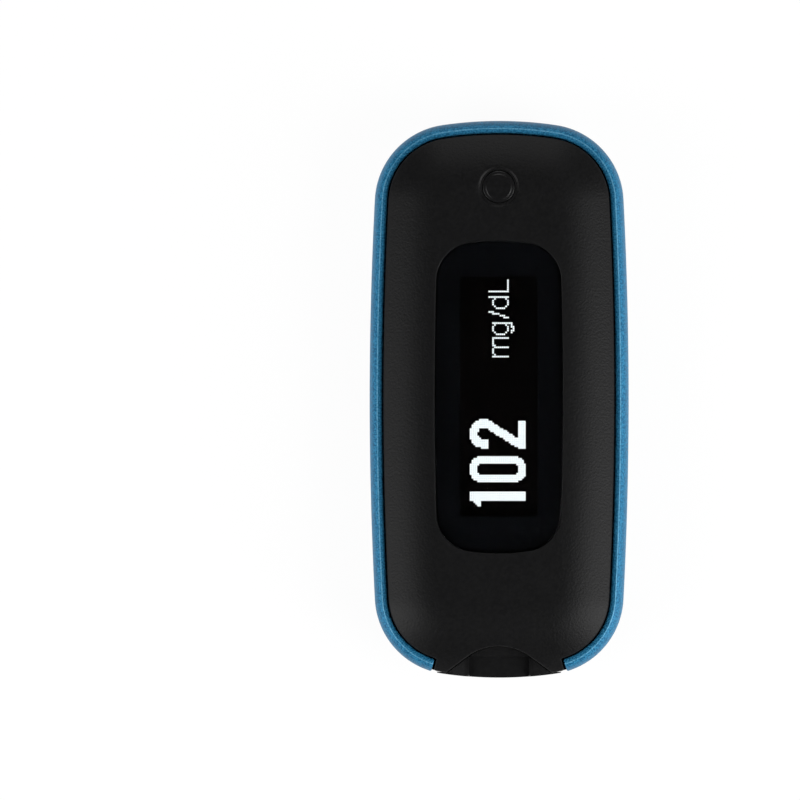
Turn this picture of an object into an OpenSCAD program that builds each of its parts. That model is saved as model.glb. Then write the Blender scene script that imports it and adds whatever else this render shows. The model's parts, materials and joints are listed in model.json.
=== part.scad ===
// Blood glucose meter: a pocket-sized reader with a black two-part case, a metallic
// side band, a glass window over a long screen, one round button and a test strip port.
// Rear face on z = 0, screen side up, button end at +Y, strip port at -Y.

/* [Outline] */
// Width over the side band
body_w = 40; // [39.6:0.2:42]
// Length over the two ends
body_l = 86; // [85:0.5:90]
// Thickness from the rear face to the window
body_h = 15.5; // [15.4:0.1:17]
// Radius of the long sides
side_r = 600; // [400:50:900]
// Radius of the two ends
end_r = 60; // [54:2:70]
// Radius of the corners
corner_r = 12.2; // [11.8:0.1:12.8]

/* [Covers] */
// Thickness of the side walls
wall = 1.4; // [1.2:0.1:1.6]
// Thickness of the front cover over the electronics
crown_t = 1.5; // [1.3:0.1:1.7]
// Height that the front cover loses from its middle to the band
crown_drop = 2.9; // [2.3:0.1:3.1]
// Width over which the front cover rolls off towards the band
crown_roll = 8.5; // [7.5:0.25:9]
// Thickness of the rear cover's floor
floor_t = 1.2; // [1:0.1:1.3]
// Distance from the outline to the flat part of the rear face
belly_in = 6.5; // [6:0.25:7.5]
// Height of the rounded edge round the rear face
belly_rise = 6; // [5:0.25:7]
// Height of the seam between the two covers
seam_z = 8; // [7.9:0.1:8.2]
// Gap left at the seam
seam_gap = 0.1; // [0.05:0.05:0.15]
// Radius of a screw boss on the rear cover
boss_r = 2.3; // [2.1:0.1:2.5]
// Depth of the blank label recess
label_depth = 0.15; // [0.1:0.05:0.3]

/* [Side band] */
// Width of the band seen from the front
band_w = 1.85; // [1.6:0.05:2]
// Height of the band
band_h = 8.1; // [7.5:0.1:8.6]
// Gap between the band and the covers
band_gap = 0.35; // [0.25:0.05:0.45]
// Width of the band's flat inner lip
band_lip = 0.5; // [0.4:0.05:0.6]
// Opening between the band's two ends
band_open = 21; // [20:0.25:22]
// Thickness of the tongue that the covers clamp
tongue_t = 0.8; // [0.6:0.1:1]

/* [Window and screen] */
// Width of the window
window_w = 19.6; // [19:0.1:20.4]
// Length of the window
window_l = 47.94; // [46.5:0.25:49]
// Thickness of the window
window_t = 1.15; // [1:0.05:1.3]
// Distance of the window from the middle of the body
window_y = 0.34; // [0:0.05:0.6]
// Radius of the window's long sides
window_side_r = 600; // [400:50:900]
// Radius of the window's ends
window_end_r = 32; // [28:1:40]
// Radius of the window's corners
window_corner_r = 5.8; // [5:0.1:6.5]
// Thickness of the adhesive ring under the window
tape_t = 0.15; // [0.1:0.05:0.2]
// Thickness of the ledge that carries the window
ledge_t = 0.8; // [0.7:0.1:1]
// Width of the lit screen
screen_w = 11.7; // [11:0.1:12.2]
// Length of the lit screen
screen_l = 36.7; // [35:0.25:38]
// Distance of the screen from the middle of the body
screen_y = 0.42; // [0:0.05:0.6]
// Border of the display panel round the lit screen
panel_rim = 1.4; // [1.2:0.1:1.6]
// Thickness of the display panel
panel_t = 1.4; // [1.2:0.1:1.5]
// Thickness of the gasket between panel and ledge
gasket_t = 0.3; // [0.2:0.05:0.4]

/* [Button] */
// Distance of the button from the end of the body
button_in = 10.3; // [9.8:0.1:11]
// Diameter of the button's cap
button_d = 4.9; // [4.6:0.1:5]
// Diameter of the raised pad on the cap
button_pad_d = 3.86; // [3.4:0.1:4.2]
// Height of the pad over the cap's edge
button_pad_h = 0.1; // [0.05:0.05:0.15]
// Diameter of the chamfered ring round the cap
button_ring_d = 6.2; // [5.8:0.1:6.6]
// Gap round the cap
button_fit = 0.1; // [0.05:0.05:0.15]
// Press travel of the button
button_travel = 0.35; // [0.25:0.05:0.5]
// Width of the switch under the button
switch_w = 6; // [5.6:0.1:6.2]
// Height of the switch without its plunger
switch_h = 3.5; // [3.2:0.1:3.7]
// Diameter of the switch's plunger
plunger_d = 3.44; // [3:0.1:3.5]

/* [Strip port] */
// Depth of the arch, from the end of the body to its top
arch_depth = 5; // [4.5:0.1:5.4]
// Radius of the arch
arch_r = 8; // [7:0.25:8.5]
// Angle of the flare on each side of the arch
arch_turn = 37; // [34:1:38]
// Width of the slot for the test strip
slot_w = 9.2; // [8:0.1:9.4]
// Height of the slot for the test strip
slot_h = 0.8; // [0.6:0.1:1]
// Distance of the slot's mouth from the end of the body
mouth_depth = 3.35; // [3.1:0.05:3.6]
// Depth of the strip connector's body
connector_l = 9.4; // [8.6:0.2:10]

/* [Cells and door] */
// Diameter of a coin cell
cell_d = 20; // [19.4:0.1:20.2]
// Thickness of a coin cell
cell_h = 3.2; // [3:0.1:3.3]
// Gap round a cell in its pocket
cell_fit = 0.2; // [0.1:0.05:0.3]
// Wall between the two cell pockets
cell_wall = 0.2; // [0.2:0.1:0.6]
// Thickness of the battery door
door_t = 1.2; // [1:0.1:1.3]
// Gap round the battery door
door_gap = 0.1; // [0.1:0.05:0.2]
// Distance of the door's edge from the middle of the body, towards the port
split_y = 13; // [12.8:0.1:14]

/* [Board] */
// Thickness of the circuit board
board_t = 1; // [0.8:0.1:1.2]
// Gap between the board's edge and the walls
board_gap = 1; // [0.8:0.1:1.4]
// Room between the cell pockets and the board
board_room = 0.9; // [0.8:0.05:1]
// Distance of the board's screws from the middle of the body, towards the port
board_screw_y = 20; // [18:0.5:21]
// Width of the microcontroller
controller_w = 9; // [7:0.5:10]
// Width of the sensor chip
sensor_w = 5; // [4:0.5:6]
// Width of the memory chip
memory_w = 4; // [3:0.5:4.5]
// Length of the clock crystal
crystal_l = 7; // [5:0.5:8]
// Length of a capacitor
capacitor_l = 1.6; // [1:0.1:2]
// Length of a resistor
resistor_l = 1.6; // [1:0.1:2]
// Diameter of the buzzer
buzzer_d = 5; // [4:0.2:5.2]

/* [Screws] */
// Diameter of a case screw
screw_d = 2; // [1.6:0.1:2]
// Diameter of a case screw's head
screw_head_d = 3.8; // [3.4:0.1:4]
// Height of a case screw's head
screw_head_h = 1.3; // [1:0.1:1.5]
// Diameter of a board screw
board_screw_d = 1.2; // [1:0.1:1.4]
// Diameter of a board screw's head
board_head_d = 2.4; // [2:0.1:2.6]

/* [Hidden] */

$fn = 48;
over = 1;                                       // how far a cut runs past a face
side_n = 2;                                     // divisions of half a side, a corner, half an end
corner_n = 8;
end_n = 4;

// Insets, all measured inwards from the outline
edge_in = 0.3;                                  // covers between the band's ends
cover_in = band_w + band_gap;                   // covers beside the band
tongue_in = cover_in + wall / 2;                // inner edge of the band's tongue
wall_in = cover_in + wall;                      // inside of the side walls
board_in = wall_in + board_gap;

// Heights, from the rear face up
seam_lo = seam_z - tongue_t / 2 - seam_gap;     // rear cover's rim under the tongue
seam_top = seam_z + tongue_t / 2;               // top of the tongue and the rear's lip
front_z = seam_top + seam_gap;                  // front cover's lower edge
cell_z = door_t + 0.3;
spring_h = 0.6;                                 // room for the springs over a cell
well_z = cell_z + cell_h + spring_h;            // ceiling of the cell pockets
well_top = well_z + 1;
board_z = well_top + board_room;
board_top = board_z + board_t;
deck_z = board_z - 3.6;                         // shelf over the door's edges
deck_top = deck_z + 1;
door_top = deck_z - door_gap;                   // upper edge of the door's sides
window_z = body_h - window_t;
ledge_top = window_z - tape_t;
ledge_z = ledge_top - ledge_t;
panel_top = ledge_z - gasket_t;
panel_z = panel_top - panel_t;
ceiling = body_h - crown_t;
slot_z = board_top + 1.1;                       // floor of the strip slot

// Places
end_y = body_l / 2;
button_y = end_y - button_in;
mouth_y = mouth_depth - end_y;
arch_y = arch_depth - end_y - arch_r;           // centre of the arch
guide_back = arch_depth - end_y + 0.1;          // rear face of the strip guide
pocket_r = cell_d / 2 + cell_fit;
well_w = 2 * pocket_r + 5.4;
well_y = 1 - split_y;                           // port side of the cell block
cell_ys = [well_y + 0.9 + pocket_r, well_y + 0.9 + 3 * pocket_r + cell_wall];
well_end = cell_ys[1] + pocket_r + 1.2;
rail_end = well_end - 3.6;                      // the rails stop before the corners
rail_in = 0.3;                                  // foot of a rail to the cell block
rail_x = well_w / 2 + rail_in;                  // inner edge of a rail's foot
ledge_w = 1.1;                                  // ledge that a rail's foot rides on
foot_w = 1;
leg_w = 0.8;
ledge_lo = cell_z;
ledge_hi = ledge_lo + 0.6;
foot_z = ledge_hi + 0.1;
foot_top = foot_z + 0.8;
tab_x = [4, 8];                                 // tabs on the door's port edge
tab_l = 1;
tab_z = [door_t - 0.7, door_t - 0.2];

// Outlines as [half width, half length, side radius, end radius, corner radius]
body_outline = [body_w / 2, body_l / 2, side_r, end_r, corner_r];
window_outline = [window_w / 2, window_l / 2, window_side_r, window_end_r, window_corner_r];
corner = corner_centre(body_outline);
body_edge = edge(body_outline);
window_edge = edge(window_outline);
band_edge = open_edge(body_outline, band_open / 2);
space_edge = open_edge(body_outline, band_open / 2 - band_gap);
tongue_edge = open_edge(body_outline, band_open / 2 - seam_gap);

// Screw places
screw_x = corner.x + 3.5;
screw_y = corner.y + 3.7;
screw_r = screw_d / 2;
screw_head_r = screw_head_d / 2;
screw_seat = deck_z + screw_head_h + 0.1;       // face that a case screw's head pulls on
screw_l = board_top + 2.8 - screw_seat;
front_boss_r = boss_r - 0.4;
front_boss_z = board_z - 0.2;
board_screw_x = body_w / 2 - wall_in - 2.6;
board_screw_r = board_screw_d / 2;
post_r = board_screw_r + 0.7;
fit_r = 0.02;                                   // radial gap of a screw in its pilot bore
board_screw_end = deck_z + 1.2;

// Plunger of the switch, below and above the top of the switch's body
plunger_in = 0.7;
plunger_out = 1.5;

// Display stack in plan
panel_w = screen_w + 2 * panel_rim;
panel_l = screen_l + 2 * panel_rim + 2.6;       // the driver sits beyond the lit screen
panel_fit = 0.15;
holder_wall = 1;
holder_w = panel_w + 2 * (panel_fit + holder_wall);
holder_l = panel_l + 2 * (panel_fit + holder_wall);
holder_end = screen_y - holder_l / 2;
flex_w = 10;
flex_t = 0.16;
flex_y = holder_end - 0.5;                      // where the flex folds down
flex_z = board_top + 0.7;
socket_l = 2.6;
socket_y = holder_end + holder_wall + 3;        // the socket stands under the panel

// ---- Outline of three arcs a quarter -------------------------------------------------

// Centre of the corner arc, which meets the side arc and the end arc
function corner_centre(o) = let (
    s = [o[0] - o[2], 0], e = [0, o[1] - o[3]], v = e - s, l = norm(v), u = v / l,
    a = o[2] - o[4], b = o[3] - o[4], x = (a * a - b * b + l * l) / (2 * l))
    s + x * u + sqrt(a * a - x * x) * [-u.y, u.x];

// Points on an arc as [centre, radius, angle]
function arc_run(centre, r, from, to, n, last = 0) =
    [for (i = [0 : n - 1 + last]) [centre, r, from + (to - from) * i / n]];

// The outline's long sides and its button end, counter-clockwise from the +X side
function far_edge(o) = let (
    c = corner_centre(o), s = o[0] - o[2], e = o[1] - o[3],
    t = atan2(c.y, c.x - s), q = atan2(c.y - e, c.x))
    concat(
        arc_run([s, 0], o[2], -t, t, 2 * side_n),
        arc_run(c, o[4], t, q, corner_n),
        arc_run([0, e], o[3], q, 180 - q, 2 * end_n),
        arc_run([-c.x, c.y], o[4], 180 - q, 180 - t, corner_n),
        arc_run([-s, 0], o[2], 180 - t, 180 + t, 2 * side_n));

// The whole outline, from the middle of the port end
function edge(o) = let (
    c = corner_centre(o), s = o[0] - o[2], e = o[1] - o[3],
    t = atan2(c.y, c.x - s), q = atan2(c.y - e, c.x))
    concat(
        arc_run([0, -e], o[3], 270, 360 - q, end_n),
        arc_run([c.x, -c.y], o[4], 360 - q, 360 - t, corner_n),
        far_edge(o),
        arc_run([-c.x, -c.y], o[4], 180 + t, 180 + q, corner_n),
        arc_run([0, -e], o[3], 180 + q, 270, end_n));

// The outline left open at the port, from one corner to the other. It keeps the divisions
// of the whole outline, so that walls cut with it follow the covers' faces.
function open_edge(o, half) = let (
    c = corner_centre(o), t = atan2(c.y, c.x - o[0] + o[2]), q = atan2(c.y - o[1] + o[3], c.x),
    a = acos((half - c.x) / o[4]))
    concat(
        [[[c.x, -c.y], o[4], 360 - a]],
        [for (p = arc_run([c.x, -c.y], o[4], 360 - q, 360 - t, corner_n)) if (p[2] > 361 - a) p],
        far_edge(o),
        [for (p = arc_run([-c.x, -c.y], o[4], 180 + t, 180 + q, corner_n)) if (p[2] < 179 + a) p],
        [[[-c.x, -c.y], o[4], 180 + a]]);

// A point of an outline, moved inwards by p[0] and up to p[1]
function at(e, p) = [e[0].x + (e[1] - p[0]) * cos(e[2]), e[0].y + (e[1] - p[0]) * sin(e[2]), p[1]];

function flat(e, inset) = [for (s = e) let (p = at(s, [inset, 0])) [p.x, p.y]];

// Solid through outlines, steps are [inset, height] from the bottom up
module loft(e, steps) {
    n = len(e);
    k = len(steps);
    polyhedron(
        [for (s = steps) for (p = e) at(p, s)],
        concat(
            [[for (i = [0 : n - 1]) i]],
            [for (j = [0 : k - 2]) for (i = [0 : n - 1]) let (a = j * n + i, b = j * n + (i + 1) % n)
                each [[a, a + n, b + n], [a, b + n, b]]],
            [[for (i = [n - 1 : -1 : 0]) (k - 1) * n + i]]));
}

// Solid with a profile of [inset, height] points carried along an open outline. Its ends
// are convex faces, given as lists of the profile's points.
module run(e, profile, ends = []) {
    n = len(profile);
    k = len(e);
    caps = len(ends) > 0 ? ends : [[for (i = [0 : n - 1]) i]];
    polyhedron(
        [for (s = e) for (p = profile) at(s, p)],
        concat(
            [for (c = caps) [for (i = [len(c) - 1 : -1 : 0]) c[i]]],
            [for (j = [0 : k - 2]) for (i = [0 : n - 1]) let (a = j * n + i, b = j * n + (i + 1) % n)
                each [[a, b, b + n], [a, b + n, a + n]]],
            [for (c = caps) [for (i = c) (k - 1) * n + i]]));
}

// Straight-sided plate with an outline
module plate(e, inset, z, top) {
    translate([0, 0, z]) linear_extrude(top - z) polygon(flat(e, inset));
}

module box(x, y, z) {                           // each argument is [low, high]
    translate([x[0], y[0], z[0]]) cube([x[1] - x[0], y[1] - y[0], z[1] - z[0]]);
}

module block(w, y, z) box([-w / 2, w / 2], y, z);

module rod(r, z, top) translate([0, 0, z]) cylinder(r = r, h = top - z);

module both_sides() for (m = [0, 1]) mirror([m, 0, 0]) children();

module screw_places() for (x = [-screw_x, screw_x], y = [-screw_y, screw_y])
    translate([x, y, 0]) children();

module board_screw_places() for (x = [-board_screw_x, board_screw_x])
    translate([x, -board_screw_y, 0]) children();

// ---- Case ----------------------------------------------------------------------------

// Height of the front cover's surface at an inset
function crown_z(d) = body_h - crown_drop * pow(max(0, 1 - (d - cover_in) / crown_roll), 2.2);

// Height of the rear face at an inset
function belly_z(d) = let (t = min(1, max(0, belly_in - d) / (belly_in - edge_in)))
    belly_rise * (1 - sqrt(1 - t * t));

crown_in = cover_in + crown_roll;               // where the front cover is flat
front_steps = let (n = 8, first = edge_in + 0.3) concat(
    [[edge_in, front_z], [edge_in, crown_z(edge_in) - 0.4]],
    [for (i = [0 : n]) let (d = first + (crown_in - first) * i / n) [d, crown_z(d)]]);
front_hollow = let (n = 5, lag = 0.9) concat(
    [[wall_in, front_z - over]],
    [for (i = [0 : n]) let (d = wall_in + (crown_in + lag - 0.2 - wall_in) * i / n)
        [d, crown_z(d - lag) - crown_t]]);
belly_steps = let (n = 7) [for (i = [0 : n])
    let (d = belly_in - (belly_in - edge_in) * sin(90 * i / n)) [d, belly_z(d)]];
rear_steps = concat(belly_steps, [[edge_in, seam_top]]);
rear_hollow = [[belly_in + 0.8, floor_t], [belly_in - 0.8, floor_t + 0.2],
    [wall_in + 1, floor_t + 1.2], [wall_in, floor_t + 2.8], [wall_in, seam_top + over]];

door_hollow = let (n = 4, first = belly_in + 0.4, last = cover_in + door_t) concat(
    [for (i = [0 : n]) let (d = first + (last - first) * i / n) [d, door_t + belly_z(d - 0.35)]],
    [[last, door_top + over]]);

// The arched mouth in plan, grown or shrunk
function arch(grow) = let (r = arch_r + grow, n = 10, far = 9,
    c = cos(90 - arch_turn), s = sin(90 - arch_turn), x = r * c + far * s, y = arch_y + r * s - far * c)
    concat([[x, y]],
        [for (i = [0 : n]) let (t = 90 - arch_turn + 2 * arch_turn * i / n)
            [r * cos(t), arch_y + r * sin(t)]],
        [[-x, y], [-x, y - far], [x, y - far]]);

module arch_prism(grow, z, top) translate([0, 0, z]) linear_extrude(top - z) polygon(arch(grow));

// Room that the band takes out of a cover, between two heights
module band_space(z, top) run(space_edge, [[cover_in, z], [-2, z], [-2, top], [cover_in, top]]);

// The same on the rear cover, stepped in over the seam for the band's tongue. It ends close
// to the band, so that nothing shows through at the band's ends.
module tongue_space(z, top) run(tongue_edge, [[cover_in, z], [-2, z], [-2, top], [tongue_in, top],
    [tongue_in, seam_lo], [cover_in, seam_lo]], [[0, 1, 2, 5], [2, 3, 4, 5]]);

module front_cover() color("#1a1a1c") difference() {
    union() {
        difference() {
            loft(body_edge, front_steps);
            loft(body_edge, front_hollow);
        }
        translate([0, window_y]) plate(window_edge, -1.2, ledge_z, ledge_top + 0.3);
        screw_places() rod(front_boss_r, front_boss_z, ceiling + 0.1);
    }
    band_space(front_z - over, body_h);
    translate([0, window_y]) plate(window_edge, -0.1, ledge_top, body_h + over);
    block(screen_w + 0.8, [screen_y - screen_l / 2 - 0.4, screen_y + screen_l / 2 + 0.4],
        [ledge_z - over, ledge_top + over]);
    arch_prism(0, front_z - over, body_h + over);
    translate([0, button_y]) {
        rod(button_d / 2 + 0.95, front_z, ceiling);
        rod(button_d / 2 + button_fit, ceiling - over, body_h + over);
        translate([0, 0, body_h - 0.3])
            cylinder(r1 = button_d / 2 + button_fit, r2 = button_ring_d / 2 + 0.3, h = 0.45);
    }
    screw_places() rod(screw_r + fit_r, front_boss_z - over, screw_seat + screw_l + 0.3);
}

module cell_block() block(well_w, [well_y, well_end], [ledge_lo, well_top]);

// Rear cover's walls, floor, deck over the door and what stands in it
module rear_shell() difference() {
    loft(body_edge, rear_steps);
    difference() {
        loft(body_edge, rear_hollow);
        block(body_w, [-split_y - floor_t, end_y], [0, deck_top]);
        cell_block();
        screw_places() rod(boss_r, 0, front_boss_z - seam_gap);
        board_screw_places() rod(post_r, 0, board_z);
    }
}

module rear_cover() color("#151517") difference() {
    difference() {
        rear_shell();
        tongue_space(-over, seam_top + over);
    }
    difference() {
        block(body_w + 2, [-split_y, end_y + over], [-over, deck_z]);
        cell_block();
        both_sides() box([well_w / 2 - over, well_w / 2 + ledge_w], [well_y, rail_end],
            [ledge_lo, ledge_hi]);
    }
    both_sides() box([tab_x[0] - door_gap, tab_x[1] + door_gap], [-split_y - tab_l - 0.1, -split_y + over],
        [tab_z[0] - 0.1, tab_z[1] + 0.1]);
    for (y = cell_ys) translate([0, y]) {
        rod(pocket_r, 0, well_z);
        block(5, [-4, 4], [well_z - over, well_z + 0.2]);
        block(2.4, [2.4, 3.4], [well_z - over, well_top + over]);
        box([pocket_r - over, pocket_r + 0.5], [-1.8, 1.8], [0, well_top + over]);
    }
    screw_places() {
        rod(screw_head_r + 0.2, -over, screw_seat);
        rod(screw_r + 0.15, 0, board_z);
    }
    board_screw_places() rod(board_screw_r + fit_r, board_screw_end - 0.4, board_z + over);
    block(17, [-split_y - 18, -split_y - 3], [-over, label_depth]);
}

module side_band() color("#3f7ea6") {
    half = band_h / 2;
    tip = tongue_in - seam_gap;
    lip = [[0, 0.08], [0.1, 0.42], [0.33, 0.66], [0.7, 0.84], [band_w - band_lip, 0.98], [band_w, 1]];
    up = [for (p = lip) [p[0], seam_z + half * p[1]]];
    down = [for (i = [len(lip) - 1 : -1 : 0]) [lip[i][0], seam_z - half * lip[i][1]]];
    tongue = [for (p = [[band_w, 1], [tip, 1], [tip, -1], [band_w, -1]]) [p[0], seam_z + p[1] * tongue_t / 2]];
    n = len(lip);
    run(band_edge, concat(up, tongue, down),
        [[for (i = [0 : n]) i, for (i = [n + 3 : 2 * n + 3]) i], [for (i = [n : n + 3]) i]]);
}

module strip_guide() color("#19191b") difference() {
    lip_top = crown_z(arch_depth) - crown_t - 0.6;
    union() {
        intersection() {
            loft(body_edge, [[0.25, front_z], [0, front_z + 0.3], [0, front_z + 0.6],
                [0.4, slot_z + 0.2], [0.4, body_h]]);
            arch_prism(-0.12, front_z, body_h);
            union() {
                block(body_w / 2, [-end_y, mouth_y + 1], [front_z, slot_z]);
                both_sides() translate([0, mouth_y + 0.5, 0]) rotate([90, 0, 0])
                    linear_extrude(mouth_depth + 0.5) polygon([[slot_w / 2, front_z], [slot_w / 2, slot_z + 1],
                        [slot_w / 2 + 0.35, slot_z + 1], [slot_w, slot_z + 2.4], [slot_w, front_z]]);
                port_lip(body_w / 2, lip_top);
            }
        }
        port_lip(2 * slot_w - 3.4, slot_z + 1.9);
    }
    block(slot_w, [-end_y - over, guide_back + over], [slot_z, slot_z + slot_h]);
}

// Wedge over the slot's mouth, which slopes down from under the front cover
module port_lip(w, top) intersection() {
    translate([-w / 2, 0, 0]) rotate([90, 0, 90]) linear_extrude(w)
        polygon([[guide_back, front_z], [guide_back, top], [guide_back - 0.3, top],
            [mouth_y, slot_z + slot_h + 0.2], [mouth_y, front_z]]);
    plate(body_edge, w < body_w / 2 ? wall_in + 0.15 : 0, front_z, body_h);
}

module battery_door() color("#151517") {
    difference() {
        intersection() {
            loft(body_edge, concat(belly_steps, [[edge_in, seam_top]]));
            block(body_w, [-split_y + door_gap, end_y], [0, door_top]);
        }
        loft(body_edge, door_hollow);
        band_space(-over, door_top + over);
        for (i = [0 : 4]) translate([0, 24 + 2 * i, 0.1]) rotate([0, 90, 0])
            cylinder(r = 0.35, h = 15 - 1.5 * abs(i - 2), center = true);
    }
    both_sides() {
        box([rail_x + foot_w - 0.1, rail_x + foot_w + leg_w], [1 - split_y, rail_end],
            [door_t - 0.4, foot_top]);
        box([rail_x, rail_x + foot_w], [1 - split_y, rail_end], [foot_z, foot_top]);
        box(tab_x, [-split_y - tab_l, -split_y + door_gap + 0.5], tab_z);
    }
}

// ---- Window, screen and button -------------------------------------------------------

module display_window() color("#0b0d11") translate([0, window_y])
    loft(window_edge, [[0, window_z], [0, body_h - 0.35], [0.25, body_h - 0.1], [0.9, body_h]]);

module window_tape() color("#202022") translate([0, window_y]) difference() {
    plate(window_edge, 0.2, ledge_top, window_z);
    translate([0, -window_y]) block(screen_w + 1.2,
        [screen_y - screen_l / 2 - 0.6, screen_y + screen_l / 2 + 0.6], [ledge_top - over, body_h]);
}

module power_button() color("#1a1a1c") translate([0, button_y]) {
    edge_top = body_h - 0.15 - button_pad_h;
    rod(button_d / 2 + 0.75, board_top + switch_h + plunger_out, ceiling - 0.2);
    rod(button_d / 2, ceiling - 0.3, edge_top - 0.15);
    translate([0, 0, edge_top - 0.15]) cylinder(r1 = button_d / 2, r2 = button_d / 2 - 0.15, h = 0.15);
    translate([0, 0, edge_top - 0.1])
        cylinder(r1 = button_pad_d / 2 + 0.05, r2 = button_pad_d / 2 - 0.05, h = 0.1 + button_pad_h);
}

module display_gasket() color("#2a2a2a") translate([0, screen_y, panel_top]) difference() {
    block(panel_w - 0.2, [-screen_l / 2 - 1.2, screen_l / 2 + 1.2], [0, gasket_t]);
    block(screen_w + 0.8, [-screen_l / 2 - 0.4, screen_l / 2 + 0.4], [-over, gasket_t + over]);
}

module display_panel() color("#07080a") translate([0, screen_y, panel_z])
    block(panel_w, [-panel_l / 2, panel_l / 2], [0, panel_t]);

module panel_flex() color("#b8742a") {
    top = panel_z + 0.5;
    start = screen_y - panel_l / 2;
    block(flex_w, [flex_y, start], [top, top + flex_t]);
    block(flex_w, [flex_y, flex_y + flex_t], [flex_z, top + flex_t]);
    block(flex_w, [flex_y, socket_y], [flex_z, flex_z + flex_t]);
}

module display_holder() color("#d8d6cf") translate([0, screen_y, 0]) difference() {
    block(holder_w, [-holder_l / 2, holder_l / 2], [board_top, panel_z + 1]);
    block(panel_w + 2 * panel_fit, [-panel_l / 2 - panel_fit, panel_l / 2 + panel_fit],
        [panel_z, panel_z + 1 + over]);
    for (i = [-1 : 1]) translate([0, i * (panel_l - 2) / 3])
        block(panel_w - 2, [-(panel_l - 6) / 6, (panel_l - 6) / 6], [board_top - over, panel_z + over]);
    block(flex_w + 0.6, [-holder_l, -panel_l / 2], [flex_z - 0.3, panel_z + 1 + over]);
    block(flex_w + 0.6, [-panel_l / 2 - over, -panel_l / 2 + 3], [flex_z - 0.3, flex_z + flex_t + 0.3]);
}

// ---- Board and its parts -------------------------------------------------------------

module main_board() color("#1c5a38") difference() {
    plate(body_edge, board_in, board_z, board_top);
    screw_places() rod(front_boss_r + 0.3, board_z - over, board_top + over);
    board_screw_places() rod(board_screw_r + 0.15, board_z - over, board_top + over);
}

module tact_switch() color("#3a3a3d") translate([0, button_y]) {
    difference() {
        block(switch_w, [-switch_w / 2, switch_w / 2], [board_top, board_top + switch_h]);
        rod(plunger_d / 2 + 0.08, board_top + switch_h - plunger_in - button_travel - 0.2,
            board_top + switch_h + over);
    }
    both_sides() for (y = [-2.2, 2.2])
        box([switch_w / 2 - 0.1, switch_w / 2 + 0.7], [y - 0.35, y + 0.35], [board_top, board_top + 0.2]);
}

module switch_plunger() color("#101012") translate([0, button_y])
    rod(plunger_d / 2, board_top + switch_h - plunger_in, board_top + switch_h + plunger_out);

connector_w = slot_w + 3;
connector_y = guide_back + 0.1;
contact_xs = [for (i = [-2 : 2]) i * 1.6];
contact_w = 0.8;
contact_t = 0.25;

module strip_connector() color("#e6e2d6") difference() {
    block(connector_w, [connector_y, connector_y + connector_l], [board_top, board_top + 3.2]);
    block(slot_w, [connector_y - over, connector_y + connector_l - 1.6], [slot_z, slot_z + slot_h]);
    for (x = contact_xs) translate([x, 0, 0])
        block(contact_w + 0.2, [connector_y + 1.2, connector_y + connector_l + over],
            [slot_z + 0.3, board_top + 3.2 + over]);
    for (x = contact_xs) translate([x, 0, 0])
        block(contact_w + 0.2, [connector_y + connector_l - 0.8, connector_y + connector_l + over],
            [board_top - over, slot_z + over]);
}

module strip_contacts() color("#c9a24a") for (x = contact_xs) translate([x, 0, 0]) {
    back = connector_y + connector_l;
    block(contact_w, [connector_y + 3.6, back - 0.2], [slot_z + slot_h + 0.3, slot_z + slot_h + 0.3 + contact_t]);
    block(contact_w, [connector_y + 3.6, connector_y + 4.4], [slot_z + slot_h - 0.2, slot_z + slot_h + 0.4]);
    block(contact_w, [back - 0.2 - contact_t, back - 0.2], [board_top, slot_z + slot_h + 0.4]);
}

module flex_connector() color("#e9e4d8") difference() {
    block(flex_w + 2, [socket_y, socket_y + socket_l], [board_top, board_top + 1.3]);
    block(flex_w + 0.4, [socket_y - over, socket_y + socket_l - 1], [flex_z - 0.1, flex_z + flex_t + 0.1]);
}

// Chip under the board, with its legs
module chip(w, l, h, pins) {
    block(w, [-l / 2, l / 2], [board_z - h, board_z - 0.15]);
    for (i = [0 : pins - 1]) let (y = (i - (pins - 1) / 2) * (l - 1) / (pins - 1))
        both_sides() box([w / 2 - 0.1, w / 2 + leg_l], [y - 0.15, y + 0.15], [board_z - 0.3, board_z]);
}

leg_l = 0.7;                                    // legs beside a chip
chip_gap = 0.5;                                 // between one part's legs and the next part
controller_y = well_y - 3 - controller_w / 2;
beside_x = controller_w / 2 + leg_l + chip_gap;
crystal_w = 0.45 * crystal_l;

module microcontroller() color("#202124") translate([0, controller_y])
    chip(controller_w, controller_w, 1.4, 8);

module sensor_chip() color("#202124")
    translate([0, controller_y - controller_w / 2 - 2 * chip_gap - sensor_w / 2])
        chip(sensor_w, sensor_w - 0.6, 1.1, 4);

module memory_chip() color("#202124") translate([-beside_x - leg_l - memory_w / 2, controller_y - 4])
    chip(memory_w, memory_w + 1, 1.3, 4);

module clock_crystal() color("#b9bbbd") translate([beside_x + crystal_w / 2, controller_y])
    box([-crystal_w / 2, crystal_w / 2], [-crystal_l / 2, crystal_l / 2], [board_z - 1.2, board_z]);

part_x = holder_w / 2 + 1.4;                    // parts on both sides of the holder
capacitor_ys = [-14, -11, 15, 18];
buzzer_y = screen_y + holder_l / 2 + 0.5 + buzzer_d / 2;

module capacitors() color("#b08a5c") both_sides() for (y = capacitor_ys) translate([0, y])
    box([part_x, part_x + capacitor_l], [-0.3 * capacitor_l, 0.3 * capacitor_l],
        [board_top, board_top + 0.9]);

module resistors() color("#2b2b2d") both_sides() for (i = [0 : 4]) translate([0, i * 1.8 - 6])
    box([part_x, part_x + resistor_l], [-0.25 * resistor_l, 0.25 * resistor_l],
        [board_top, board_top + 0.5]);

module buzzer() color("#141416") translate([-switch_w / 2 - 0.8 - buzzer_d / 2, buzzer_y]) difference() {
    rod(buzzer_d / 2, board_top, board_top + 2.2);
    rod(0.7, board_top + 1.4, board_top + 3);
}

// ---- Cells, contacts and screws ------------------------------------------------------

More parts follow.
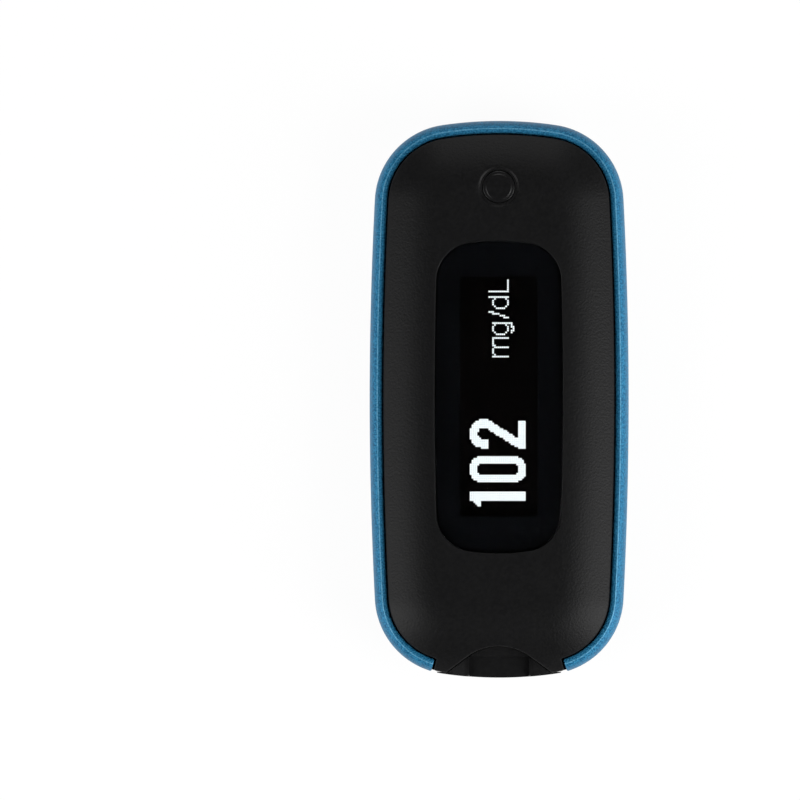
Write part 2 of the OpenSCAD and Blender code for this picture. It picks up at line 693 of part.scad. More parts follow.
module coin_cell() color("#c4c6c8") {
    rod(cell_d / 2, cell_z, cell_z + cell_h - 0.5);
    rod(cell_d / 2 - 1.3, cell_z + 0.1, cell_z + cell_h);
}

module coin_cell_port_end() translate([0, cell_ys[0]]) coin_cell();

module coin_cell_button_end() translate([0, cell_ys[1]]) coin_cell();

// Spring with a plate in the pocket's ceiling, an arm on the cell and a tail to the board
module negative_springs() color("#caa75a") for (y = cell_ys) translate([0, y]) {
    top = well_z + 0.2;
    block(4.4, [-3.6, 3.6], [top - 0.2, top]);
    block(1.6, [-3.4, -3.2], [cell_z + cell_h + 0.2, top]);
    block(1.6, [-3.4, 1.2], [cell_z + cell_h, cell_z + cell_h + 0.2]);
    block(1.8, [2.7, 2.9], [top - 0.1, board_z]);
}

module positive_clips() color("#c2c4c6") for (y = cell_ys) translate([cell_d / 2, y])
    box([0.03, 0.25], [-1.5, 1.5], [cell_z + 0.4, board_z]);

module case_screws() color("#8d8f92") screw_places() difference() {
    union() {
        rod(screw_head_r, screw_seat - screw_head_h, screw_seat);
        rod(screw_r, screw_seat - 0.1, screw_seat + screw_l);
    }
    for (a = [0, 90]) rotate(a) block(0.5, [-1.1, 1.1],
        [screw_seat - screw_head_h - over, screw_seat - screw_head_h + 0.7]);
}

module board_screws() color("#8d8f92") board_screw_places() difference() {
    head_z = board_top + 0.7;
    union() {
        rod(board_head_d / 2, board_top, head_z);
        rod(board_screw_r, board_screw_end, board_top + 0.1);
    }
    for (a = [0, 90]) rotate(a)
        block(0.35, [-0.3 * board_head_d, 0.3 * board_head_d], [head_z - 0.4, head_z + over]);
}

front_cover();
rear_cover();
side_band();
display_window();
window_tape();
power_button();
strip_guide();
battery_door();
display_gasket();
display_panel();
panel_flex();
display_holder();
main_board();
tact_switch();
switch_plunger();
strip_connector();
strip_contacts();
flex_connector();
microcontroller();
sensor_chip();
memory_chip();
clock_crystal();
capacitors();
resistors();
buzzer();
coin_cell_port_end();
coin_cell_button_end();
negative_springs();
positive_clips();
case_screws();
board_screws();
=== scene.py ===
# Looks of the blood glucose meter. Fine covers, band, window, button and strip guide stand
# in for the CAD pieces that are seen from outside, the rest of the frame gets materials.
import json
import math

import bpy
import numpy as np
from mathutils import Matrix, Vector
from mathutils.geometry import delaunay_2d_cdt

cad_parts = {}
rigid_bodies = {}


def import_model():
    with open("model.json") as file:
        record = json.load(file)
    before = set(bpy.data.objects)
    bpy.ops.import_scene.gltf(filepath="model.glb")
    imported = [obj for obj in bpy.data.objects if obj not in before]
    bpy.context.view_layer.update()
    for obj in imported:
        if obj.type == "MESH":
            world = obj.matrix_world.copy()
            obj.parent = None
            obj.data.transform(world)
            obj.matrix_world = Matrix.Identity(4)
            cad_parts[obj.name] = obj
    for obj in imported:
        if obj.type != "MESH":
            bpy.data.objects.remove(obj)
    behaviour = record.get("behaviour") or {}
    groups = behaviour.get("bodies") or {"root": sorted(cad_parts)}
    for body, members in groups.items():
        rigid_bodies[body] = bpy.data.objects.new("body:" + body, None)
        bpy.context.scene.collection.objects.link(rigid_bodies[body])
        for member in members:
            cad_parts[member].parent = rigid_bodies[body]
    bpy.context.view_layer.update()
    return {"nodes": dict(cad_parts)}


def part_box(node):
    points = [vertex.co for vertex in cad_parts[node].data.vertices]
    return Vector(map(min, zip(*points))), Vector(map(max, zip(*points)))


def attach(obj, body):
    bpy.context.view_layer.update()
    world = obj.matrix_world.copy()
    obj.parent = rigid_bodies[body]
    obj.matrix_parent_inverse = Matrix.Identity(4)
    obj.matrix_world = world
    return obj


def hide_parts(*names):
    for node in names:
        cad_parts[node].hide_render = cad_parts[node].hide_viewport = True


for ob in list(bpy.data.objects):
    bpy.data.objects.remove(ob)
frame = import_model()
mm = 0.001


def corners(node):
    # low and high corner of a CAD piece in millimetres, the unit of all that follows
    low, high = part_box(node)
    return np.array(low) / mm, np.array(high) / mm


bandLow, bandHigh = corners("side_band")
windowLow, windowHigh = corners("display_window")
buttonLow, buttonHigh = corners("power_button")
panelTop = corners("display_panel")[1][2]
bodyTop = windowHigh[2]
endY = bandHigh[1]
paneY = (windowHigh[1] + windowLow[1]) / 2
seamZ = (bandLow[2] + bandHigh[2]) / 2               # middle height of the band

# half width and half length of an outline, and the radii of its side, end and corner arcs
body = dict(w=bandHigh[0], l=endY, side=600.0, end=60.0, corner=12.2)
pane = dict(w=windowHigh[0], l=(windowHigh[1] - windowLow[1]) / 2, side=600.0, end=32.0, corner=5.8)
insets = dict(edge=0.3, cover=2.2, wall=3.6)         # from the body's outline
top = dict(fall=2.9, run=8.5, power=2.2)             # slope of the front cover
belly = dict(flat=6.5, run=6.2, rise=6.0)            # rounding of the rear face


def arcs(shape):
    # centres of a quarter's side, end and corner arcs, and the angles where they meet
    a, b = shape["side"] - shape["corner"], shape["end"] - shape["corner"]
    side = np.array([shape["w"] - shape["side"], 0.0])
    end = np.array([0.0, shape["l"] - shape["end"]])
    span = np.linalg.norm(end - side)
    u = (end - side) / span
    x = (a * a - b * b + span * span) / (2 * span)
    corner = side + x * u + math.sqrt(a * a - x * x) * np.array([-u[1], u[0]])
    first = math.atan2(corner[1], corner[0] - side[0])
    last = math.atan2(corner[1] - end[1], corner[0])
    return side, end, corner, first, last


def outline(shape, counts=(22, 24, 14)):
    # rows of centre, radius and angle, from the middle of the port end, anticlockwise
    side, end, corner, first, last = arcs(shape)
    rows = [(*side, shape["side"], a) for a in np.linspace(0, first, counts[0], endpoint=False)]
    rows += [(*corner, shape["corner"], a) for a in np.linspace(first, last, counts[1], endpoint=False)]
    rows += [(*end, shape["end"], a) for a in np.linspace(last, math.pi / 2, counts[2] + 1)]
    one = np.array(rows)
    two, three, four = one.copy(), one.copy(), one.copy()
    two[:, 0] *= -1
    two[:, 3] = math.pi - one[:, 3]
    three[:, :2] *= -1
    three[:, 3] = math.pi + one[:, 3]
    four[:, 1] *= -1
    four[:, 3] = 2 * math.pi - one[:, 3]
    return np.concatenate([four[::-1], one[1:], two[::-1][1:], three[1:-1]])


def inset(rows, d):
    r = rows[:, 2] - d
    return np.stack([rows[:, 0] + r * np.cos(rows[:, 3]), rows[:, 1] + r * np.sin(rows[:, 3])], 1)


def depth(pts):
    # distance inwards from the body's outline
    side, end, corner, first, last = arcs(body)
    x, y = np.abs(pts[:, 0]), np.abs(pts[:, 1])
    fromSide = body["side"] - np.hypot(x - side[0], y)
    fromEnd = body["end"] - np.hypot(x, y - end[1])
    fromCorner = body["corner"] - np.hypot(x - corner[0], y - corner[1])
    turn = np.arctan2(y - corner[1], x - corner[0])
    return np.where((turn > first) & (turn < last), fromCorner, np.minimum(fromSide, fromEnd))


def crownAt(d):
    # height of the front cover at a depth
    outer = np.maximum(0, 1 - (np.asarray(d) - insets["cover"]) / top["run"])
    return bodyTop - top["fall"] * outer ** top["power"]


def bellyAt(d):
    # height of the rear face at a depth
    t = np.clip((belly["flat"] - np.asarray(d)) / belly["run"], 0, 1)
    return belly["rise"] * (1 - np.sqrt(1 - t * t))


bodyRows = outline(body)
paneRows = outline(pane, (16, 16, 16))
cornerAt = arcs(body)[2]


def build(name, verts, faces, sharp=38):
    me = bpy.data.meshes.new(name)
    me.from_pydata([tuple(float(c) * mm for c in v) for v in verts], [], faces)
    me.validate()
    me.shade_smooth()
    me.set_sharp_from_angle(angle=math.radians(sharp))
    ob = bpy.data.objects.new(name, me)
    bpy.context.scene.collection.objects.link(ob)
    return ob


def loft(name, loops, **kw):
    # skin through loops of equal length, bottom up, with flat caps
    n, k = len(loops[0]), len(loops)
    faces = []
    for j in range(k - 1):
        for i in range(n):
            a, b = j * n + i, j * n + (i + 1) % n
            faces.append((a, b, b + n, a + n))
    faces.append(tuple(range(n - 1, -1, -1)))
    faces.append(tuple(range((k - 1) * n, k * n)))
    return build(name, np.concatenate(loops), faces, **kw)


def level(pts, z):
    return np.column_stack([pts, np.full(len(pts), z)])


def circle(r, centre, n, back=False):
    turn = np.linspace(0, 2 * math.pi, n, endpoint=False)
    ring = np.stack([np.cos(turn), np.sin(turn)], 1) * r + centre
    return ring[::-1] if back else ring


def raised(name, rows, steps, shift=0.0, **kw):
    # solid through an outline at (inset, height) steps from the bottom up
    return loft(name, [level(inset(rows, d) + [0, shift], z) for d, z in steps], **kw)


def lathe(name, profile, centre, n=72, **kw):
    # solid of revolution, profile of (radius, height) from the bottom up
    return loft(name, [level(circle(r, centre, n), z) for r, z in profile], **kw)


def block(name, x, y, z):
    # box between (low, high) pairs, a scalar x is a width about the middle
    x = (-x / 2, x / 2) if np.isscalar(x) else x
    flat = np.array([[x[0], y[0]], [x[1], y[0]], [x[1], y[1]], [x[0], y[1]]])
    return loft(name, [level(flat, z[0]), level(flat, z[1])])


def sided(side, a, b):
    # (low, high) pair on one side of the middle
    return tuple(sorted((side * a, side * b)))


def edgeRoll(z, soft, n, start=0.0):
    # (inset, height) points round a top edge
    turns = np.linspace(start, math.pi / 2, n)
    return [(soft * (1 - math.cos(t)), z - soft * (1 - math.sin(t))) for t in turns]


def moved(path, e):
    # closed path moved to its left
    t = np.roll(path, -1, 0) - np.roll(path, 1, 0)
    t /= np.linalg.norm(t, axis=1)[:, None]
    return path + e * np.stack([-t[:, 1], t[:, 0]], 1)


def bend(path, i, r, steps):
    # arc of a radius at one point of a closed path, and the neighbours that it swallows
    n, p = len(path), path[i]
    a, b = path[i - 1] - p, path[(i + 1) % n] - p
    a, b = a / np.linalg.norm(a), b / np.linalg.norm(b)
    half = math.acos(float(np.clip(a @ b, -1, 1))) / 2
    run = r / math.tan(half)
    gone = set()
    for way in (-1, 1):
        j = i + way
        while np.linalg.norm(path[j % n] - p) < run * 1.02:     # none right beside the arc's end
            gone.add(j % n)
            j += way
    centre = p + (a + b) / np.linalg.norm(a + b) * r / math.sin(half)
    v0, v1 = p + a * run - centre, p + b * run - centre
    turn = math.atan2(v0[0] * v1[1] - v0[1] * v1[0], v0 @ v1)
    arc = []
    for f in np.linspace(0, 1, steps + 1):
        c, s = math.cos(turn * f), math.sin(turn * f)
        arc.append(centre + [c * v0[0] - s * v0[1], s * v0[0] + c * v0[1]])
    return arc, gone


def rounded(path, spots, steps=6):
    # path with arcs at the points that spots names, as point to radius
    bends = {i: bend(path, i, r, steps) for i, r in spots.items()}
    gone = set().union(*(swallowed for _, swallowed in bends.values()))
    out = []
    for i, p in enumerate(path):
        if i in bends:
            out += bends[i][0]
        elif i not in gone:
            out.append(p)
    return np.array(out)


def plate(w, l, y, r):
    # rectangle with rounded corners, anticlockwise
    square = np.array([[-1, -1], [1, -1], [1, 1], [-1, 1]]) * [w / 2, l / 2]
    return rounded(square, dict.fromkeys(range(4), r)) + [0, y]


def inside(pts, loops):
    # even-odd test against closed loops
    odd = np.zeros(len(pts), bool)
    for loop in loops:
        for (x0, y0), (x1, y1) in zip(loop, np.roll(loop, -1, 0)):
            if y0 == y1:
                continue
            over = (pts[:, 1] < y0) != (pts[:, 1] < y1)
            odd ^= over & (pts[:, 0] < x0 + (pts[:, 1] - y0) * (x1 - x0) / (y1 - y0))
    return odd


def away(pts, others, gap, batch=500):
    # points that keep a gap to all the others, worked out in batches
    keep = np.ones(len(pts), bool)
    for i in range(0, len(pts), batch):
        part = pts[i:i + batch]
        near = ((part[:, None, :] - others[None, :, :]) ** 2).sum(2).min(1)
        keep[i:i + batch] = near > gap * gap
    return pts[keep]


def lattice(path, loops, taken, steps, shift, gap):
    # rows of points over a path's box, every other row shifted, that lie inside the loops
    # and clear of the points taken
    low, high = path.min(0), path.max(0)
    xs = np.arange(low[0], high[0] + steps[0], steps[0])
    ys = np.arange(low[1], high[1] + steps[1], steps[1])
    pts = np.array([(x + (j % 2) * shift, y) for j, y in enumerate(ys) for x in xs])
    return away(pts[inside(pts, loops)], taken, gap)


def mosaic(rings, lines, loose, bounds):
    # triangles over the region within the bounds, with rings and lines kept as edges
    pts, edges = [], []
    for ring in rings:
        m = sum(len(p) for p in pts)
        pts.append(ring)
        edges += [(m + i, m + (i + 1) % len(ring)) for i in range(len(ring))]
    for line in lines:
        m = sum(len(p) for p in pts)
        pts.append(line)
        edges += [(m + i, m + i + 1) for i in range(len(line) - 1)]
    flat = [Vector((float(x), float(y))) for x, y in np.concatenate([*pts, loose])]
    verts, _, tris, origins, _, _ = delaunay_2d_cdt(flat, edges, [], 0, 1e-6, True)
    where = np.array([[v[0], v[1]] for v in verts])
    middles = np.array([where[list(t)].mean(0) for t in tris])
    tris = [tuple(t) for t, keep in zip(tris, inside(middles, bounds)) if keep]
    index = {}                                       # from a point given to its vertex
    for i, source in enumerate(origins):
        for s in source:
            index[s] = i
    return where, tris, index


def slab(name, loops, topAt, baseAt, pitch=0.8, lines=(), baseLines=(), basePitch=2.5, rest=0.07, **kw):
    # Solid between two height functions. Loops are (path, edge radius) pairs: the outer path
    # runs anticlockwise, holes run clockwise, and their top edges are rolled over.
    paths = [path for path, _ in loops]
    rings, drops, starts, innermost = [], [], [], []
    for path, r in loops:
        starts.append(sum(len(ring) for ring in rings))
        for e, z in [*edgeRoll(0.0, r, 5), (r + rest, 0.0)]:
            rings.append(moved(path, e))
            drops.append(np.full(len(path), -z))
        innermost.append(rings[-1])

    taken = np.concatenate([*innermost, *lines])
    rowPitch = pitch * 0.87                          # near to equal triangles
    loose = lattice(paths[0], innermost, taken, (pitch, rowPitch), pitch / 2, pitch * 0.45)
    where, faces, index = mosaic(rings, lines, loose, paths)
    fall = np.zeros(len(where))
    for s, f in enumerate(np.concatenate(drops)):
        fall[index[s]] = f
    verts = [(x, y, z) for (x, y), z in zip(where, topAt(where) - fall)]

    taken = np.concatenate([*paths, *baseLines])
    loose = lattice(paths[0], paths, taken, (basePitch, basePitch), 0, 0.5)
    under, underFaces, underIndex = mosaic(paths, baseLines, loose, paths)
    m = len(verts)
    verts += [(x, y, z) for (x, y), z in zip(under, baseAt(under))]
    faces += [tuple(m + i for i in reversed(t)) for t in underFaces]

    first = 0
    for start, path in zip(starts, paths):
        n = len(path)
        for i in range(n):
            j = (i + 1) % n
            a, b = index[start + i], index[start + j]
            c, d = m + underIndex[first + j], m + underIndex[first + i]
            faces.append((d, c, b, a))
        first += n
    return build(name, verts, faces, **kw)


def flatAt(z):
    return lambda pts: np.full(len(pts), z)


def fused(ob, operation, tools, bevel=0.0):
    # the tools cut from or added to an object, then bevels on what is sharp
    for tool in tools:
        step = ob.modifiers.new(operation, "BOOLEAN")
        step.operation = operation
        step.solver = "MANIFOLD"
        step.object = tool
    if bevel:
        weld = ob.modifiers.new("weld", "WELD")
        weld.merge_threshold = 0.004 * mm
        soften = ob.modifiers.new("bevel", "BEVEL")
        soften.width = bevel * mm
        soften.segments = 2
        soften.limit_method = "ANGLE"
        soften.angle_limit = math.radians(50)
        soften.use_clamp_overlap = True
    graph = bpy.context.evaluated_depsgraph_get()
    me = bpy.data.meshes.new_from_object(ob.evaluated_get(graph))
    ob.modifiers.clear()
    old = ob.data
    ob.data = me
    me.name = ob.name
    bpy.data.meshes.remove(old)
    for tool in tools:
        bpy.data.objects.remove(tool)
    me.shade_smooth()
    me.set_sharp_from_angle(angle=math.radians(38))
    return ob


def joined(obs, name):
    # one object made of several
    verts, faces = [], []
    for ob in obs:
        m = len(verts)
        verts += [v.co[:] for v in ob.data.vertices]
        faces += [tuple(m + i for i in p.vertices) for p in ob.data.polygons]
        bpy.data.objects.remove(ob)
    return build(name, np.array(verts) / mm, faces)


print("helpers ready")


def surface(name, dark, light, rough, spread=0.05, grain=800, bump=0.0, bumpGrain=3000,
            detail=3.0, metal=0.0, blend=0.15, **sockets):
    # painted or moulded surface: cloudy colour, uneven gloss and a fine relief
    m = bpy.data.materials.new(name)
    m.use_nodes = True
    tree = m.node_tree
    shader = tree.nodes["Principled BSDF"]
    place = tree.nodes.new("ShaderNodeTexCoord")
    cloud = tree.nodes.new("ShaderNodeTexNoise")
    cloud.inputs["Scale"].default_value = grain
    cloud.inputs["Detail"].default_value = detail
    tree.links.new(place.outputs["Object"], cloud.inputs["Vector"])
    ramp = tree.nodes.new("ShaderNodeValToRGB")
    ramp.color_ramp.elements[0].position = 0.5 - blend
    ramp.color_ramp.elements[1].position = 0.5 + blend
    ramp.color_ramp.elements[0].color = (*dark, 1)
    ramp.color_ramp.elements[1].color = (*light, 1)
    tree.links.new(cloud.outputs["Fac"], ramp.inputs["Fac"])
    tree.links.new(ramp.outputs["Color"], shader.inputs["Base Color"])
    gloss = tree.nodes.new("ShaderNodeMapRange")
    gloss.inputs["From Min"].default_value = 0.3
    gloss.inputs["From Max"].default_value = 0.7
    gloss.inputs["To Min"].default_value = max(0.0, rough - spread)
    gloss.inputs["To Max"].default_value = min(1.0, rough + spread)
    tree.links.new(cloud.outputs["Fac"], gloss.inputs["Value"])
    tree.links.new(gloss.outputs["Result"], shader.inputs["Roughness"])
    if bump:                                         # its height in millimetres
        relief = tree.nodes.new("ShaderNodeTexNoise")
        relief.inputs["Scale"].default_value = bumpGrain
        relief.inputs["Detail"].default_value = 1.0
        tree.links.new(place.outputs["Object"], relief.inputs["Vector"])
        node = tree.nodes.new("ShaderNodeBump")
        node.inputs["Strength"].default_value = 1.0
        node.inputs["Distance"].default_value = bump * mm
        tree.links.new(relief.outputs["Fac"], node.inputs["Height"])
        tree.links.new(node.outputs["Normal"], shader.inputs["Normal"])
    shader.inputs["Metallic"].default_value = metal
    for key, value in sockets.items():
        shader.inputs[key.replace("_", " ")].default_value = value
    return m


def grey(v):
    return (v, v, v)


looks = dict(
    cover=surface("coverBlack", (0.0026, 0.0026, 0.0028), (0.0038, 0.0038, 0.004), 0.49,
                  spread=0.03, grain=1900, bump=0.042, bumpGrain=3000, Specular_IOR_Level=0.11),
    case=surface("caseBlack", (0.0036, 0.0036, 0.0038), (0.005, 0.005, 0.0053), 0.45,
                 spread=0.03, grain=1500, bump=0.025, bumpGrain=3500, Specular_IOR_Level=0.14),
    guide=surface("guideBlack", (0.0034, 0.0034, 0.0036), (0.0044, 0.0044, 0.0047), 0.42,
                  spread=0.02, grain=1500, bump=0.015, bumpGrain=4000, Specular_IOR_Level=0.16),
    button=surface("buttonBlack", (0.0028, 0.0028, 0.003), (0.004, 0.004, 0.0043), 0.34,
                   spread=0.02, grain=1500, bump=0.012, bumpGrain=3500, Specular_IOR_Level=0.26),
    band=surface("bandMetallic", (0.004, 0.07, 0.15), (0.022, 0.158, 0.285), 0.48, spread=0.1,
                 grain=4000, bump=0.045, bumpGrain=4200, detail=1.0, metal=0.2, blend=0.09,
                 Specular_IOR_Level=0.12),
    # painted highlight: a lighter blue for the band's upper ridge, with a little more gloss
    bandLipPaintedHighlight=surface("bandLipPaintedHighlight", (0.025, 0.15, 0.26), (0.08, 0.25, 0.39), 0.4, spread=0.08,
                    grain=3400, bump=0.03, bumpGrain=3800, detail=1.0, metal=0.2, blend=0.12,
                    Specular_IOR_Level=0.2),
    adhesive=surface("adhesiveBlack", grey(0.004), grey(0.006), 0.7, grain=900),
    rubber=surface("gasketRubber", grey(0.012), grey(0.02), 0.75, grain=900, bump=0.02),
    panel=surface("displayGlass", (0.0012, 0.0006, 0.0006), (0.0016, 0.0009, 0.0009), 0.34,
                  spread=0.02, grain=150, Specular_IOR_Level=0.03),
    flex=surface("flexFilm", (0.32, 0.13, 0.03), (0.42, 0.18, 0.05), 0.35, grain=500),
    holder=surface("holderWhite", grey(0.55), grey(0.62), 0.5, grain=400, bump=0.01),
    board=surface("boardGreen", (0.006, 0.06, 0.022), (0.012, 0.1, 0.04), 0.35, grain=700,
                  bump=0.008, bumpGrain=2500),
    switchGrey=surface("switchGrey", grey(0.04), grey(0.055), 0.42, grain=700),
    switchBlack=surface("switchBlack", grey(0.008), grey(0.012), 0.45, grain=700),
    ivory=surface("connectorIvory", (0.62, 0.57, 0.46), (0.7, 0.66, 0.55), 0.45, grain=500),
    gold=surface("contactGold", (0.75, 0.5, 0.16), (0.86, 0.6, 0.22), 0.28, metal=1.0, grain=900),
    chip=surface("chipBlack", grey(0.012), grey(0.018), 0.55, grain=1500, bump=0.01),
    can=surface("canMetal", grey(0.5), grey(0.6), 0.3, metal=1.0, grain=900),
    tan=surface("capacitorTan", (0.34, 0.2, 0.09), (0.42, 0.26, 0.13), 0.4, grain=900),
    resistor=surface("resistorBlack", grey(0.014), grey(0.02), 0.4, grain=900),
    buzzer=surface("buzzerBlack", grey(0.008), grey(0.012), 0.4, grain=600, bump=0.01),
    cell=surface("cellSteel", grey(0.56), grey(0.6), 0.27, spread=0.03, metal=1.0, grain=2500,
                 bump=0.002),
    brass=surface("springBrass", (0.68, 0.48, 0.2), (0.78, 0.56, 0.26), 0.32, metal=1.0, grain=900),
    clip=surface("clipSteel", grey(0.52), grey(0.62), 0.32, metal=1.0, grain=800),
    screw=surface("screwSteel", grey(0.42), grey(0.52), 0.34, metal=1.0, grain=1200, bump=0.004),
    glass=surface("windowGlass", (0.96, 0.97, 1.0), (0.98, 0.99, 1.0), 0.02, spread=0.01, grain=120,
                  Transmission_Weight=1.0, IOR=1.15),
    printed=surface("windowPrint", (0.0022, 0.0026, 0.0032), (0.0028, 0.0032, 0.004), 0.9, grain=600,
                    Specular_IOR_Level=0.0),
    lit=surface("litPixels", (0.01, 0.012, 0.012), (0.012, 0.014, 0.014), 0.5, grain=900,
                Emission_Color=(0.93, 1.0, 0.99, 1), Emission_Strength=1.06),
)

nodeLooks = dict(
    window_tape="adhesive", display_gasket="rubber", display_panel="panel", panel_flex="flex",
    display_holder="holder", main_board="board", tact_switch="switchGrey",
    switch_plunger="switchBlack", strip_connector="ivory", strip_contacts="gold",
    flex_connector="ivory", microcontroller="chip", sensor_chip="chip", memory_chip="chip",
    clock_crystal="can", capacitors="tan", resistors="resistor", buzzer="buzzer",
    coin_cell_port_end="cell", coin_cell_button_end="cell", negative_springs="brass",
    positive_clips="clip", case_screws="screw", board_screws="screw",
)


def dress(ob, look):
    ob.data.materials.clear()
    ob.data.materials.append(look)


for node, look in nodeLooks.items():
    dress(frame["nodes"][node], looks[look])


def fit(ob, bodyName, slot, look, *nodes):
    # a piece's look, the body that carries it and the CAD pieces that it stands in for
    dress(ob, looks[look])
    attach(ob, bodyName)
    if nodes:
        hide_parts(*nodes)


print("materials ready")

# Front cover: an arch over the port that flares out to two horns, the window's opening and
# a sunk ring round the button. The port's open width is the band's, its gap the cover's to it.
port = dict(depth=5.0, r=8.0, turn=math.radians(37), open=21.0, gap=0.35)
archY = port["depth"] - endY - port["r"]
cover = dict(flareR=0.55, hornR=0.35, hornSteps=(0.9, 1.5), stepR=0.2, edge=0.2, paneEdge=0.12,
             paneGap=0.1, wellEdge=0.08, seat=8.5, thick=1.5, slant=0.9, level=20)
well = dict(outer=3.16, hole=2.55, deep=0.25, wall=0.34)
ledge = dict(top=bodyTop - 1.3, thick=0.8, reach=1.2, w=12.5, l=37.5, y=0.42, cutZ=(10, 16), soft=0.06)
boss = dict(r=1.9, soft=0.15, low=7.0, top=12.4, bore=1.02, boreLow=6.0, boreTop=11.2)
screwAt = cornerAt + [3.5, 3.7]
buttonAt = np.array([0.0, (buttonLow[1] + buttonHigh[1]) / 2])
angleGap = 0.02                                      # least step between rows of an outline


def cornerTurn(half):
    # angle on the port corners' arc at a distance from the middle
    return math.acos((half - cornerAt[0]) / body["corner"])


def cornerPoint(turn, d):
    return cornerAt * [1, -1] + (body["corner"] - d) * np.array([math.cos(turn), -math.sin(turn)])


def flareEnd(start, way, d):
    # how far a line runs from a point until it meets a depth, by halving
    low, high = 0.0, 9.0
    for _ in range(40):
        mid = (low + high) / 2
        if depth(np.array([start + way * mid]))[0] > d:
            low = mid
        else:
            high = mid
    return low


def archSide(grow, d):
    # right half of the arch from its top, and the straight flare down to a depth
    turns = math.pi / 2 - port["turn"] * np.linspace(0, 1, 15)
    r = port["r"] + grow
    side = [np.array([r * math.cos(a), archY + r * math.sin(a)]) for a in turns]
    start = side[-1]
    way = np.array([math.cos(-port["turn"]), math.sin(-port["turn"])])
    run = flareEnd(start, way, d)
    return side + [start + way * run * f for f in np.linspace(0, 1, 13)[1:]]


def mirroredPath(right, between):
    # closed path of a right half and its mirror image
    return np.concatenate([right, between, right[1:][::-1] * [-1, 1]])


def coverPath():
    right = archSide(0.0, insets["edge"])
    foot = right[-1]
    spots = {len(right) - 1: cover["flareR"]}
    turn = cornerTurn(port["open"] / 2 - port["gap"])
    stop = 2 * math.pi - turn
    for p, row in zip(inset(bodyRows, insets["edge"]), bodyRows):
        if p[0] > foot[0] + 0.3 and p[1] < 0 and row[3] < stop - 0.03:     # from foot to horn
            right.append(p)
    spots[len(right)] = cover["hornR"]
    right += [cornerPoint(turn, d) for d in (insets["edge"], *cover["hornSteps"], insets["cover"])]
    spots[len(right) - 1] = cover["stepR"]
    onCorner = (bodyRows[:, 3] > stop + angleGap) & (bodyRows[:, 2] == body["corner"])
    first, half = int(np.argmax(onCorner)), len(bodyRows) // 2
    right += list(inset(bodyRows, insets["cover"])[first:half + 1])
    right = np.array(right)
    right[0, 0] = right[-1, 0] = 0
    path = mirroredPath(right[:-1], right[-1:])
    mirrored = {len(path) - i: r for i, r in spots.items()}
    return rounded(path, {**spots, **mirrored})


def coverTop(pts):
    r = np.hypot(*(pts - buttonAt).T)
    t = np.clip((well["outer"] - r) / well["wall"], 0, 1)
    return crownAt(depth(pts)) - well["deep"] * t * t * (3 - 2 * t)


def coverBase(pts):
    d = depth(pts)
    roof = crownAt(np.minimum(d - cover["slant"], cover["level"])) - cover["thick"]
    return np.where(d < insets["wall"] + 0.02, cover["seat"], roof)


def wellLines():
    lines = []
    for f in (0, 0.2, 0.4, 0.6, 0.8, 1):
        ring = circle(well["outer"] - well["wall"] * f, buttonAt, 56)
        lines.append(np.concatenate([ring, ring[:1]]))
    return lines


def wallLines():
    # two lines close together along the wall's inner face, open at the port
    lines = []
    for d in (insets["wall"], insets["wall"] + 0.06):
        line = inset(bodyRows, d)
        line = line[(np.abs(line[:, 0]) > 9) | (line[:, 1] > 0)]
        right = (line[:, 0] > 0) & (line[:, 1] < 0)
        first = int(np.argmin(np.where(right, line[:, 0], np.inf)))
        lines.append(np.roll(line, -first, 0))
    return lines


def frontCover():
    paneEdge = inset(paneRows, -cover["paneGap"])[::-1] + [0, paneY]
    edges = [(coverPath(), cover["edge"]), (paneEdge, cover["paneEdge"]),
             (circle(well["hole"], buttonAt, 56, True), cover["wellEdge"])]
    shell = slab("shell", edges, coverTop, coverBase, pitch=0.75, lines=wellLines(), baseLines=wallLines())
    steps = [(-ledge["reach"], ledge["top"] - ledge["thick"]), (-ledge["reach"], ledge["top"])]
    seat = raised("ledge", paneRows, steps, shift=paneY)
    ends = (ledge["y"] - ledge["l"] / 2, ledge["y"] + ledge["l"] / 2)
    hole = block("hole", ledge["w"], ends, ledge["cutZ"])
    parts = [shell, fused(seat, "DIFFERENCE", [hole], bevel=ledge["soft"])]
    shape = [(boss["r"] - boss["soft"], boss["low"]), (boss["r"], boss["low"] + boss["soft"]),
             (boss["r"], boss["top"])]
    for sx in (-1, 1):
        for sy in (-1, 1):
            post = lathe("boss", shape, screwAt * [sx, sy], 40)
            bore = lathe("bore", [(boss["bore"], boss["boreLow"]), (boss["bore"], boss["boreTop"])],
                         screwAt * [sx, sy], 32)
            parts.append(fused(post, "DIFFERENCE", [bore]))
    return joined(parts, "frontCover")


coverPiece = frontCover()
fit(coverPiece, "case", "cover_black", "cover", "front_cover")
print("front cover", len(coverPiece.data.polygons))

# Side band: a bowed ring with a fine ridge on both rims and a tongue that the covers clamp.
band = dict(half=(bandHigh[2] - bandLow[2]) / 2, shoulder=0.98, bow=0.8, bulge=1.65, ridge=1.12, end=1.93,
            tongue=0.4, tongueEnd=2.8, soft=0.05, tip=0.16, paintedHighlightW=0.25)
rimFall = ((0.15, 0.012), (0.19, 0.0), (0.23, 0.008), (0.42, 0.03), (0.58, 0.065), (0.72, 0.11),
           (0.82, 0.17), (0.86, 0.28))               # way in from the ridge and drop


def bandProfile():
    # closed profile of (inset, height) points: below, up the tongue's end and back over the top
    shoulder, tongue, soft = band["shoulder"] * band["half"], band["tongue"], band["soft"]
    up = []
    for t in np.linspace(0, math.pi / 2, 15):
        bulge = 1 - math.cos(t) ** (2 / band["bulge"])
        up.append((band["ridge"] * bulge, shoulder * math.sin(t) ** band["bow"]))
    up.append((band["ridge"] + 0.02, shoulder + 0.002))
    up += [(band["ridge"] + d, band["half"] - drop) for d, drop in rimFall]
    up += [(band["end"], tongue + soft), (band["end"] + soft, tongue)]
    up += [(band["tongueEnd"] - soft, tongue), (band["tongueEnd"], tongue - soft)]
    return np.array(up + [(d, -z) for d, z in reversed(up[1:])])[::-1]


